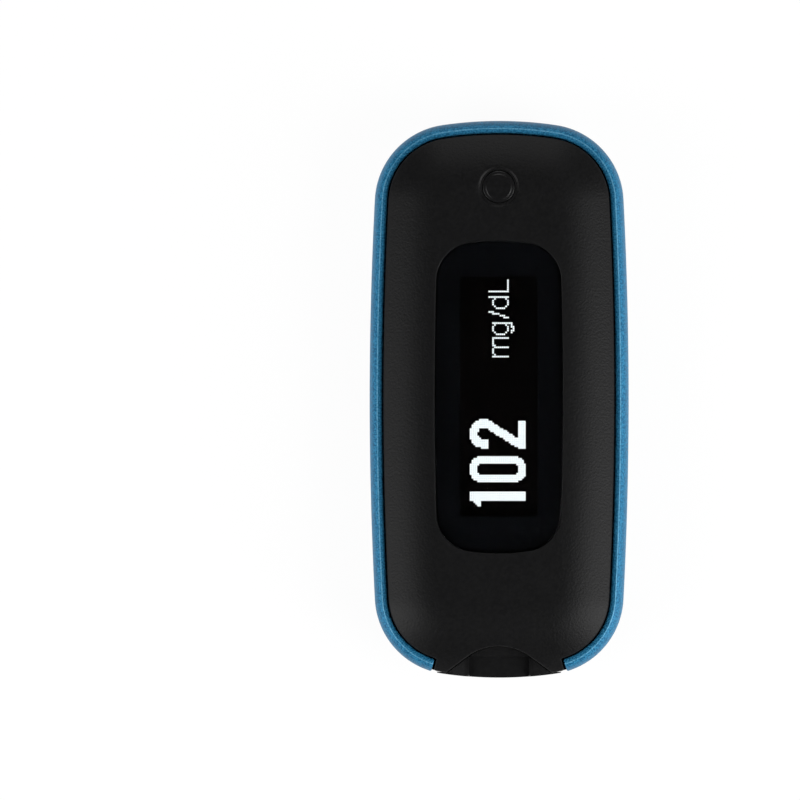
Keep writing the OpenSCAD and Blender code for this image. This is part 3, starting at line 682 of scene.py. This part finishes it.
def carried(row, profile, z=0.0):
    # profile of (inset, height) points stood on a row of the outline
    r = row[2] - profile[:, 0]
    x, y = row[0] + r * math.cos(row[3]), row[1] + r * math.sin(row[3])
    return np.column_stack([x, y, profile[:, 1] + z])


def openRows(half):
    # rows of the body's outline without the port, open to half a width on each side
    turn = cornerTurn(half)
    start, stop = 2 * math.pi - turn, math.pi + turn
    keep = [row for row in bodyRows if not stop - angleGap < row[3] < start + angleGap]
    right = np.array([cornerAt[0], -cornerAt[1], body["corner"], start])
    left = np.array([-cornerAt[0], -cornerAt[1], body["corner"], stop])
    return np.array([right, *keep, left])


def sweep(name, rows, profile, **kw):
    # profile carried along an open outline, shrunk over its last bit at both ends
    tips = [(0.0, 1.0), (0.25, 0.6), (0.6, 0.2), (1.0, 0.0)]
    sections = []
    for f, shrink in tips:
        row = rows[0].copy()
        row[3] += band["tip"] * f / row[2]
        sections.append((row, shrink * band["tip"]))
    sections += [(row, 0.0) for row in rows[1:-1]]
    for f, shrink in reversed(tips):
        row = rows[-1].copy()
        row[3] -= band["tip"] * f / row[2]
        sections.append((row, shrink * band["tip"]))
    loops = [carried(row, moved(profile, shrink) if shrink else profile, seamZ) for row, shrink in sections]
    return loft(name, loops, **kw)


profile = bandProfile()
sideBand = sweep("sideBand", openRows(port["open"] / 2), profile, sharp=30)
fit(sideBand, "case", "band_metallic", "band", "side_band")
sideBand.data.materials.append(looks["bandLipPaintedHighlight"])     # the upper ridge gets a lighter blue, a painted highlight, and a little more gloss
# faces along the upper ridge that get the painted highlight
middles = (profile + np.roll(profile, -1, 0)) / 2
way = middles[:, 0] - band["ridge"]
paintedHighlightFaces = (way > 0.02) & (way < band["paintedHighlightW"]) & (middles[:, 1] > band["shoulder"] * band["half"])
for poly in sideBand.data.polygons[:-2]:             # all but the two caps
    poly.material_index = int(paintedHighlightFaces[poly.index % len(profile)])
print("side band", len(sideBand.data.polygons))

# Window: a clear pane, a black print under it that leaves the screen open, and the lit pixels.
lens = dict(low=windowLow[2] + 0.08, soft=0.08, rim=0.12, land=0.04)
mask = dict(low=windowLow[2] + 0.01, high=windowLow[2] + 0.06, edge=0.12, r=0.5, soft=0.01)
screen = dict(w=11.7, l=36.7, y=0.42, cols=128, rows=39)

lensSteps = [(lens["soft"], lens["low"]), (0.0, lens["low"] + lens["soft"]),
             *edgeRoll(bodyTop, lens["rim"], 7), (lens["rim"] + lens["land"], bodyTop)]
windowLens = raised("windowLens", paneRows, lensSteps, shift=paneY)
fit(windowLens, "case", "window_glass", "glass", "display_window")

maskHole = plate(screen["w"] + 2 * mask["edge"], screen["l"] + 2 * mask["edge"], screen["y"], mask["r"])[::-1]
maskEdge = inset(paneRows, mask["edge"]) + [0, paneY]
windowPrint = slab("windowPrint", [(maskEdge, mask["soft"]), (maskHole, mask["soft"])],
                   flatAt(mask["high"]), flatAt(mask["low"]), pitch=3.0)
fit(windowPrint, "case", "window_glass", "printed")

# the number, on the panel's grid of pixels with u along the screen and v across it
number = dict(low=5.6, high=36.2, stroke=4.45)
oneShape = dict(left=4.6, stem=8.1, flagLow=29.9, flagTop=31.6, cut=3, slope=0.7)
zeroShape = dict(u=24.9, half=7.2, holeU=25.0, holeV=21.0, holeRun=8.9, hole=2.6)
twoShape = dict(left=36.3, right=51.0, u=44.1, v=28.4, outer=7.8, inner=3.3, tailU=46, tailV=25.5,
                hookEnd=41.0, hookLow=26.4, hookTop=28.5, slantU=49.3, slantV=26.6, runU=10.4, runV=16.6)
# the unit's letters as (advance, lines of pixels) from their lower left pixel
unit = dict(left=85, low=15)
letters = dict(
    m=(12, [[(0, 0), (0, 8)], [(1, 7), (2, 8), (3, 8), (4, 8), (5, 7)], [(5, 6), (5, 0)],
            [(6, 7), (7, 8), (9, 8), (10, 7), (10, 0)]]),
    g=(9, [[(6, 8), (6, -1), (4, -3), (2, -3), (1, -2)],
           [(6, 6), (4, 8), (2, 8), (0, 6), (0, 2), (2, 0), (4, 0), (6, 2)]]),
    slash=(5, [[(0, 0), (3, 10)]]),
    d=(9, [[(6, 10), (6, 0)], [(6, 6), (4, 8), (2, 8), (0, 6), (0, 2), (2, 0), (4, 0), (6, 2)]]),
    L=(7, [[(0, 10), (0, 0), (6, 0)]]),
)
# half sizes as shares of the pitch, and heights over the panel
pixel = dict(number=0.48, unit=0.43, low=0.005, high=0.02)


def within(u, v, left, right, low, high):
    return (u > left) & (u < right) & (v > low) & (v < high)


def oneOn(u, v):
    one = oneShape
    stem = within(u, v, one["stem"], one["stem"] + number["stroke"], number["low"], number["high"])
    flag = within(u, v, one["left"], one["stem"], one["flagLow"], one["flagTop"] + u - one["left"])
    return (stem | flag) & (v < number["high"] - one["cut"] + (u - one["left"]) * one["slope"])


def zeroOn(u, v):
    zero = zeroShape
    middle = np.clip(v, number["low"] + zero["half"], number["high"] - zero["half"])
    hole = np.hypot(u - zero["holeU"], np.maximum(0, np.abs(v - zero["holeV"]) - zero["holeRun"]))
    return (np.hypot(u - zero["u"], v - middle) < zero["half"]) & (hole > zero["hole"])


def twoOn(u, v):
    two = twoShape
    bow = np.hypot(u - two["u"], v - two["v"])
    on = (bow < two["outer"]) & (bow > two["inner"])
    on &= (v > two["v"]) | (u > two["tailU"]) & (v > two["tailV"])
    on |= within(u, v, two["left"], two["hookEnd"], two["hookLow"], two["hookTop"])
    across, down = u - two["slantU"], v - two["slantV"]
    along = -(across * two["runU"] + down * two["runV"]) / (two["runU"] ** 2 + two["runV"] ** 2)
    along = np.clip(along, 0, 1)
    slant = np.hypot(across + two["runU"] * along, down + two["runV"] * along) < number["stroke"] / 2
    on |= slant & (v > number["low"]) & (u > two["left"])
    return on | within(u, v, two["left"], two["right"], number["low"], number["low"] + number["stroke"])


def unitPixels():
    spots = []
    left = unit["left"]
    for advance, lines in letters.values():
        for line in lines:
            for (x0, y0), (x1, y1) in zip(line[:-1], line[1:]):
                for f in np.linspace(0, 1, 2 * max(abs(x1 - x0), abs(y1 - y0)) + 1):
                    column = left + int(round(x0 + (x1 - x0) * f))
                    spots.append((column, unit["low"] + int(round(y0 + (y1 - y0) * f))))
        left += advance
    return spots


def litPixels():
    # (column, row) pairs of a plain number and its unit
    u, v = np.meshgrid(np.arange(screen["cols"]) + 0.5, np.arange(screen["rows"]) + 0.5, indexing="ij")
    on = oneOn(u, v) | zeroOn(u, v) | twoOn(u, v)
    for column, row in unitPixels():
        on[column, row] = True
    return np.argwhere(on)


def litDigits():
    # a thin tile over the panel for each lit pixel
    pitch = screen["l"] / screen["cols"]
    verts, faces = [], []
    for i, j in litPixels():
        y = screen["y"] - screen["l"] / 2 + (i + 0.5) * pitch
        x = screen["w"] / 2 - (j + 0.5) * pitch
        m = len(verts)
        h = (pixel["number"] if i < unit["left"] else pixel["unit"]) * pitch
        for z in (panelTop + pixel["low"], panelTop + pixel["high"]):
            verts += [(x - h, y - h, z), (x + h, y - h, z), (x + h, y + h, z), (x - h, y + h, z)]
        faces += [(m + 3, m + 2, m + 1, m), (m + 4, m + 5, m + 6, m + 7)]
        faces += [(m + a, m + (a + 1) % 4, m + 4 + (a + 1) % 4, m + 4 + a) for a in range(4)]
    return build("litDigits", verts, faces)


fit(litDigits(), "case", "display_glass", "lit")
print("window")

# Power button: a flange under the cover, a rolled edge and a raised round pad.
cap = dict(r=2.45, edge=bodyTop - 0.25, roll=0.12, pad=1.93, rise=0.1, soft=0.05, foot=1.8, dish=0.03)
flange = dict(r=3.2, top=13.8, soft=0.1)


def buttonProfile():
    low, edge, pad = buttonLow[2], cap["edge"], cap["pad"]
    inner = flange["r"] - flange["soft"]
    steps = [(inner, low), (flange["r"], low + flange["soft"]), (flange["r"], flange["top"] - flange["soft"]),
             (inner, flange["top"]), (cap["r"], flange["top"])]
    steps += [(cap["r"] - d, z) for d, z in edgeRoll(edge, cap["roll"], 6)]
    steps += [(pad + cap["soft"] * (cap["foot"] - f), edge + 0.3 * cap["rise"] * f * f) for f in (0, 0.6, 1)]
    steps += [(pad - d, z) for d, z in edgeRoll(edge + cap["rise"], cap["soft"], 5, start=0.2)]
    steps += [(pad * f, edge + cap["rise"] - cap["dish"] * (1 - f * f)) for f in (0.94, 0.8, 0.5, 0.2, 0.06)]
    return steps


powerButton = lathe("powerButton", buttonProfile(), buttonAt, sharp=50)
fit(powerButton, "button", "button_black", "button", "power_button")
print("button")

# Strip guide: a low floor between two ridges, wings that rise outwards, and a lip over the slot.
guide = dict(base=8.55, tip=9.6, tipGap=0.4, front=0.05, fit=0.12, under=0.35, floor=9.3, wall=4.65,
             wallEnd=-39.0, ridge=5.15, ridgeTop=10.2, ridgeEnd=-39.5, wingOut=9.4, wingTop=10.85,
             mouth=-39.65, mouthHalf=4.3, lip=0.9, lipRise=0.25, lipRun=1.45, slotW=9.2,
             slotY=(-39.95, -36.95), slotZ=(9.302, 10.1), soft=0.05)


def edgePoint(x, d):
    # point of the port end at a depth
    edge = inset(bodyRows, d)
    edge = edge[(edge[:, 1] < -30) & (edge[:, 0] > 0)]
    order = np.argsort(edge[:, 0])
    return np.array([x, np.interp(x, edge[order, 0], edge[order, 1])])


def guidePath():
    right = archSide(-guide["fit"], guide["tipGap"])
    foot = right[-1]
    for f in (0.2, 0.4, 0.6, 0.8, 1.0):              # the tips lie along the horns' edges
        x = foot[0] + (guide["tip"] - foot[0]) * f
        right.append(edgePoint(x, guide["tipGap"] - 0.25 * f))
    edge = inset(bodyRows, guide["front"])
    right += [p for p in edge if 0.05 < p[0] < guide["tip"] and p[1] < -30][::-1]
    right = np.array(right)
    right[0, 0] = 0
    return mirroredPath(right, [[0, edge[0][1]]])[::-1]


def guideTop(pts):
    x, y = np.abs(pts[:, 0]), pts[:, 1]
    out = np.clip((x - guide["ridge"]) / (guide["wingOut"] - guide["ridge"]), 0, 1)
    wing = guide["ridgeTop"] + (guide["wingTop"] - guide["ridgeTop"]) * out
    z = np.where(x < guide["wall"] + 0.015, guide["floor"], wing)
    back = np.clip((y - guide["mouth"]) / guide["lipRun"], 0, 1)
    lip = guide["floor"] + guide["lip"] + guide["lipRise"] * back
    z = np.where(y > guide["mouth"] + 0.015, np.maximum(z, lip), z)
    return np.minimum(z, crownAt(depth(pts)) - guide["under"])


def guideLines():
    # edges of the floor, the ridges and the mouth, with two lines close together at a step
    lines = []
    places = ((guide["wall"], guide["wallEnd"]), (guide["wall"] + 0.03, guide["wallEnd"]),
              (guide["ridge"], guide["ridgeEnd"]))
    for sx in (-1, 1):
        for x, y in places:
            lines.append(np.column_stack([np.full(14, sx * x), np.linspace(-endY + 0.5, y, 14)]))
    for y in (guide["mouth"], guide["mouth"] + 0.03):
        xs = np.linspace(-guide["mouthHalf"], guide["mouthHalf"], 21)
        lines.append(level(xs[:, None], y))
    return lines


stripGuide = slab("stripGuide", [(guidePath(), guide["soft"])], guideTop, flatAt(guide["base"]),
                  pitch=0.45, rest=0.02, lines=guideLines(), basePitch=1.5, sharp=30)
fused(stripGuide, "DIFFERENCE", [block("slot", guide["slotW"], guide["slotY"], guide["slotZ"])])
fit(stripGuide, "case", "guide_black", "guide", "strip_guide")
print("strip guide")

# Rear cover: a floor with sunk screws and a bare label field, the cells' block and its rails.
bellySteps = []
for t in np.linspace(0, math.pi / 2, 15):
    d = belly["flat"] - belly["run"] * math.sin(t)
    bellySteps.append((d, float(bellyAt(d))))
# the door's end of the rear face starts at y, and w, far and under pass beyond the body
split = dict(y=-13.0, gap=0.1, deck=3.6, doorTop=3.5, w=44, far=45, under=-1)
rear = dict(rim=8.4, soft=0.08, hollow=((7.3, 1.2), (5.7, 1.4), (4.6, 2.4)), hollowZ=(4.0, 9.5), deckW=34,
            deckEnd=36.5, deckTop=4.6, wallW=30, wallT=1.2, wallZ=(0.6, 4.0), tongueFit=0.05, soften=0.1)
cells = dict(ys=(-0.9, 19.7), r=10.2, halfW=12.9, z=(1.5, 6.3), y=(-12.0, 31.1), ceiling=5.3)
rail = dict(x=(12.4, 14.0), y=(-12.0, 27.5), z=(1.5, 2.1))
standoff = dict(r=2.3, soft=0.15, z=(1.0, 6.95), head=2.1, headSoft=0.25, headTop=5.0, shank=1.15,
                shankZ=(0.0, 8.2))
boardPost = dict(at=np.array([13.8, -20.0]), r=1.3, z=(1.0, 7.2), bore=0.62, boreZ=(4.4, 8.2))
contacts = dict(springW=5, springHalf=4, springZ=(5.0, 5.5), legW=2.4, leg=(2.4, 3.4), legZ=(5.0, 7.3),
                clipX=(9.2, 10.7), clipHalf=1.8, clipZ=(0.0, 7.3))
tabSlot = dict(x=(3.9, 8.1), y=(-14.1, -12.0), z=(0.4, 1.1))
label = dict(w=17, l=15, y=-23.5, r=1.2, deep=0.15)
# room for the band, as profiles of (inset, height)
tongueGap = np.array([[2.2, -1], [2.2, 7.5], [2.9, 7.5], [2.9, 9.6], [-2, 9.6], [-2, -1]])
bandGap = np.array([[2.2, -1], [2.2, 5], [-2, 5], [-2, -1]])


def gapRun(name, profile, half):
    return loft(name, [carried(row, profile) for row in openRows(half)])


def rearShell():
    rim = [(insets["edge"], rear["rim"] - rear["soft"]), (insets["edge"] + rear["soft"], rear["rim"])]
    shell = raised("rearCover", bodyRows, bellySteps + rim)
    wall = [(insets["wall"], z) for z in rear["hollowZ"]]
    fused(shell, "DIFFERENCE", [raised("hollow", bodyRows, [*rear["hollow"], *wall])])
    low, high = standoff["z"]
    foot = [(standoff["r"], low), (standoff["r"], high - standoff["soft"]),
            (standoff["r"] - standoff["soft"], high)]
    stands = [block("deck", rear["deckW"], (split["y"] - rear["wallT"], rear["deckEnd"]),
                    (split["deck"], rear["deckTop"])),
              block("wallUnder", rear["wallW"], (split["y"] - rear["wallT"], split["y"]), rear["wallZ"]),
              block("cellBlock", 2 * cells["halfW"], cells["y"], cells["z"])]
    for sx in (-1, 1):
        for sy in (-1, 1):
            stands.append(lathe("standoff", foot, screwAt * [sx, sy], 40))
        post = [(boardPost["r"], z) for z in boardPost["z"]]
        stands.append(lathe("post", post, boardPost["at"] * [sx, 1], 32))
        stands.append(block("rail", sided(sx, *rail["x"]), rail["y"], rail["z"]))
    fused(shell, "UNION", stands)
    half = port["open"] / 2 + rear["tongueFit"]
    return fused(shell, "DIFFERENCE", [gapRun("tongueGap", tongueGap, half)])


def rearCutters():
    # cell pockets, contact slots, screw holes, tab slots and the label's field
    tools = []
    for y in cells["ys"]:
        pocket = [(cells["r"], 0.0), (cells["r"], cells["ceiling"])]
        tools.append(lathe("pocket", pocket, np.array([0, y]), 72))
        half, (legLow, legHigh), clip = contacts["springHalf"], contacts["leg"], contacts["clipHalf"]
        tools.append(block("springSeat", contacts["springW"], (y - half, y + half), contacts["springZ"]))
        tools.append(block("springSlot", contacts["legW"], (y + legLow, y + legHigh), contacts["legZ"]))
        tools.append(block("clipSlot", contacts["clipX"], (y - clip, y + clip), contacts["clipZ"]))
    head = [(standoff["head"] + standoff["headSoft"], -1.0), (standoff["head"], standoff["headSoft"]),
            (standoff["head"], standoff["headTop"])]
    shank = [(standoff["shank"], z) for z in standoff["shankZ"]]
    for sx in (-1, 1):
        for sy in (-1, 1):
            tools.append(lathe("sink", head, screwAt * [sx, sy], 48))
            tools.append(lathe("shank", shank, screwAt * [sx, sy], 32))
        pilot = [(boardPost["bore"], z) for z in boardPost["boreZ"]]
        tools.append(lathe("pilot", pilot, boardPost["at"] * [sx, 1], 24))
        tools.append(block("tabSlot", sided(sx, *tabSlot["x"]), tabSlot["y"], tabSlot["z"]))
    field = plate(label["w"], label["l"], label["y"], label["r"])
    tools.append(loft("label", [level(field, -1.0), level(field, label["deep"])]))
    return tools


def doorSpace():
    # all that the door takes up, without the cells' block and its rails
    space = block("doorSpace", split["w"], (split["y"], split["far"]), (split["under"], split["deck"]))
    keep = [block("keep", 2 * cells["halfW"], cells["y"], (cells["z"][0], rear["rim"]))]
    keep += [block("keep", sided(sx, *rail["x"]), rail["y"], rail["z"]) for sx in (-1, 1)]
    return fused(space, "DIFFERENCE", keep)


def settled(ob):
    # exact normals where the rear face is smooth, left alone where a corner belongs to an edge
    me = ob.data
    pts = np.array([v.co[:] for v in me.vertices]) / mm
    d = depth(pts[:, :2])
    step = 0.01
    slopeX = (depth(pts[:, :2] + [step, 0]) - d) / step
    slopeY = (depth(pts[:, :2] + [0, step]) - d) / step
    t = np.clip((belly["flat"] - d) / belly["run"], 0, 0.995)
    fall = -belly["rise"] * t / np.sqrt(1 - t * t) / belly["run"]
    onFace = (np.abs(pts[:, 2] - bellyAt(d)) < 0.02) & (d > insets["edge"] + 0.05)
    exact = np.column_stack([fall * slopeX, fall * slopeY, -np.ones(len(d))])
    exact /= np.linalg.norm(exact, axis=1)[:, None]
    normals = [tuple(n.vector) for n in me.corner_normals]
    for poly in me.polygons:
        for i in poly.loop_indices:
            v = me.loops[i].vertex_index
            if onFace[v] and float(np.dot(exact[v], poly.normal)) > 0.97:
                normals[i] = tuple(float(c) for c in exact[v])
    me.normals_split_custom_set(normals)


rearCover = rearShell()
fused(rearCover, "DIFFERENCE", [doorSpace()])
fused(rearCover, "DIFFERENCE", rearCutters(), bevel=rear["soften"])
settled(rearCover)
fit(rearCover, "case", "case_black", "case", "rear_cover")
print("rear cover", len(rearCover.data.polygons))

# Battery door: the rest of the rear face, with rails that hook over the cover's, two tabs and
# grooves for the thumb.
runner = dict(leg=(14.1, 15.0), legZ=(0.8, 3.0), foot=(13.2, 14.4), footZ=(2.2, 3.0))
tab = dict(x=(4.0, 8.0), y=(-14.0, -12.4), z=(0.5, 1.0))
inner = dict(edge=3.4, slope=3.5, thick=1.2, top=5.0)
grip = dict(count=5, y=24, pitch=2, half=7.5, taper=0.75, z=0.12)
gripEnd = ((0.0, 0.1), (0.12, 0.3), (0.35, 0.4))     # way in from a groove's end and radius


def thumbGrip(i):
    half = grip["half"] - grip["taper"] * abs(i - grip["count"] // 2)
    stations = [(-half + d, r) for d, r in gripEnd] + [(half - d, r) for d, r in reversed(gripEnd)]
    centre = [grip["y"] + grip["pitch"] * i, grip["z"]]
    return loft("grip", [np.column_stack([np.full(20, x), circle(r, centre, 20)]) for x, r in stations])


def batteryDoor():
    door = raised("batteryDoor", bodyRows, bellySteps + [(insets["edge"], rear["rim"])])
    ends = (split["y"] + split["gap"], split["far"])
    fused(door, "INTERSECT", [block("keep", split["w"], ends, (split["under"], split["doorTop"]))])
    steps = []
    for d in inner["slope"] * np.linspace(0, 1, 9):
        steps.append((inner["edge"] + inner["slope"] - d,
                      inner["thick"] + float(bellyAt(belly["flat"] + 0.05 - d))))
    steps.append((inner["edge"], inner["top"]))
    fused(door, "DIFFERENCE", [raised("doorHollow", bodyRows, steps),
                               gapRun("bandGap", bandGap, port["open"] / 2 - port["gap"])])
    stands = []
    for sx in (-1, 1):
        stands.append(block("leg", sided(sx, *runner["leg"]), rail["y"], runner["legZ"]))
        stands.append(block("foot", sided(sx, *runner["foot"]), rail["y"], runner["footZ"]))
        stands.append(block("tab", sided(sx, *tab["x"]), tab["y"], tab["z"]))
    fused(door, "UNION", stands)
    return fused(door, "DIFFERENCE", [thumbGrip(i) for i in range(grip["count"])], bevel=rear["soften"])


door = batteryDoor()
settled(door)
fit(door, "door", "case_black", "case", "battery_door")
print("door", len(door.data.polygons))

# Floor: a share of it is plain white to the camera, in metal and through glass, and the rest
# takes the meter's shadow.
ground = dict(half=3000, z=-0.02, tone=0.86, share=0.95)


def paperLook():
    paper = bpy.data.materials.new("paper")
    paper.use_nodes = True
    tree = paper.node_tree
    shader = tree.nodes["Principled BSDF"]
    shader.inputs["Base Color"].default_value = (*grey(ground["tone"]), 1)
    shader.inputs["Roughness"].default_value = 0.9
    shader.inputs["Specular IOR Level"].default_value = 0.0
    white = tree.nodes.new("ShaderNodeEmission")
    white.inputs["Color"].default_value = (1, 1, 1, 1)
    white.inputs["Strength"].default_value = 1.0
    lightPath = tree.nodes.new("ShaderNodeLightPath")
    seen = tree.nodes.new("ShaderNodeMath")          # by the camera or through glass
    mirrored = tree.nodes.new("ShaderNodeMath")      # and in metal
    mirrored.use_clamp = True
    share = tree.nodes.new("ShaderNodeMath")         # the rest keeps the shadow
    share.operation = "MULTIPLY"
    share.inputs[1].default_value = ground["share"]
    mix = tree.nodes.new("ShaderNodeMixShader")
    tree.links.new(lightPath.outputs["Is Camera Ray"], seen.inputs[0])
    tree.links.new(lightPath.outputs["Is Transmission Ray"], seen.inputs[1])
    tree.links.new(seen.outputs["Value"], mirrored.inputs[0])
    tree.links.new(lightPath.outputs["Is Glossy Ray"], mirrored.inputs[1])
    tree.links.new(mirrored.outputs["Value"], share.inputs[0])
    tree.links.new(share.outputs["Value"], mix.inputs["Fac"])
    tree.links.new(shader.outputs["BSDF"], mix.inputs[1])
    tree.links.new(white.outputs["Emission"], mix.inputs[2])
    tree.links.new(mix.outputs["Shader"], tree.nodes["Material Output"].inputs["Surface"])
    return paper


square = np.array([[-1, -1], [1, -1], [1, 1], [-1, 1]]) * ground["half"]
floor = build("floor", level(square, ground["z"]), [(0, 1, 2, 3)])
dress(floor, paperLook())

world = bpy.data.worlds.new("studio")
bpy.context.scene.world = world
world.use_nodes = True
world.node_tree.nodes["Background"].inputs["Color"].default_value = (1, 1, 1, 1)
world.node_tree.nodes["Background"].inputs["Strength"].default_value = 0.02     # the boxes do the rest


def softbox(name, azimuth, elevation, width, power, height=0.6, distance=0.5):
    # area light in metres and watts, aimed at the middle of the meter, azimuth 0 at +X
    light = bpy.data.lights.new(name, "AREA")
    light.shape = "RECTANGLE"
    light.size = width
    light.size_y = height
    light.energy = power
    ob = bpy.data.objects.new(name, light)
    bpy.context.scene.collection.objects.link(ob)
    a, e = math.radians(azimuth), math.radians(elevation)
    back = Vector((math.cos(a) * math.cos(e), math.sin(a) * math.cos(e), math.sin(e)))
    ob.location = back * distance + Vector((0, 0, 0.008))
    ob.rotation_euler = (-back).to_track_quat("-Z", "Y").to_euler()


softbox("rightBox", azimuth=-23, elevation=24, width=0.32, power=5.4)
softbox("leftBox", azimuth=-158, elevation=21, width=0.3, power=3.8)
softbox("endBox", azimuth=90, elevation=20, width=0.3, power=1.6)

# Camera above, turned so that the meter lies right of the picture's middle.
shot = dict(at=(0.0207, -0.0001, 2.067), turn=0.01749, lens=600, sensor=36)
camera = bpy.data.cameras.new("camera")
camera.type = "PERSP"
camera.lens = shot["lens"]
camera.sensor_width = shot["sensor"]
camera.clip_start = 0.05
camera.clip_end = 10
view = bpy.data.objects.new("camera", camera)
bpy.context.scene.collection.objects.link(view)
view.location = shot["at"]
view.rotation_euler = (0, shot["turn"], 0)
bpy.context.scene.camera = view
bpy.context.scene.view_settings.view_transform = "Standard"
print("stage ready")
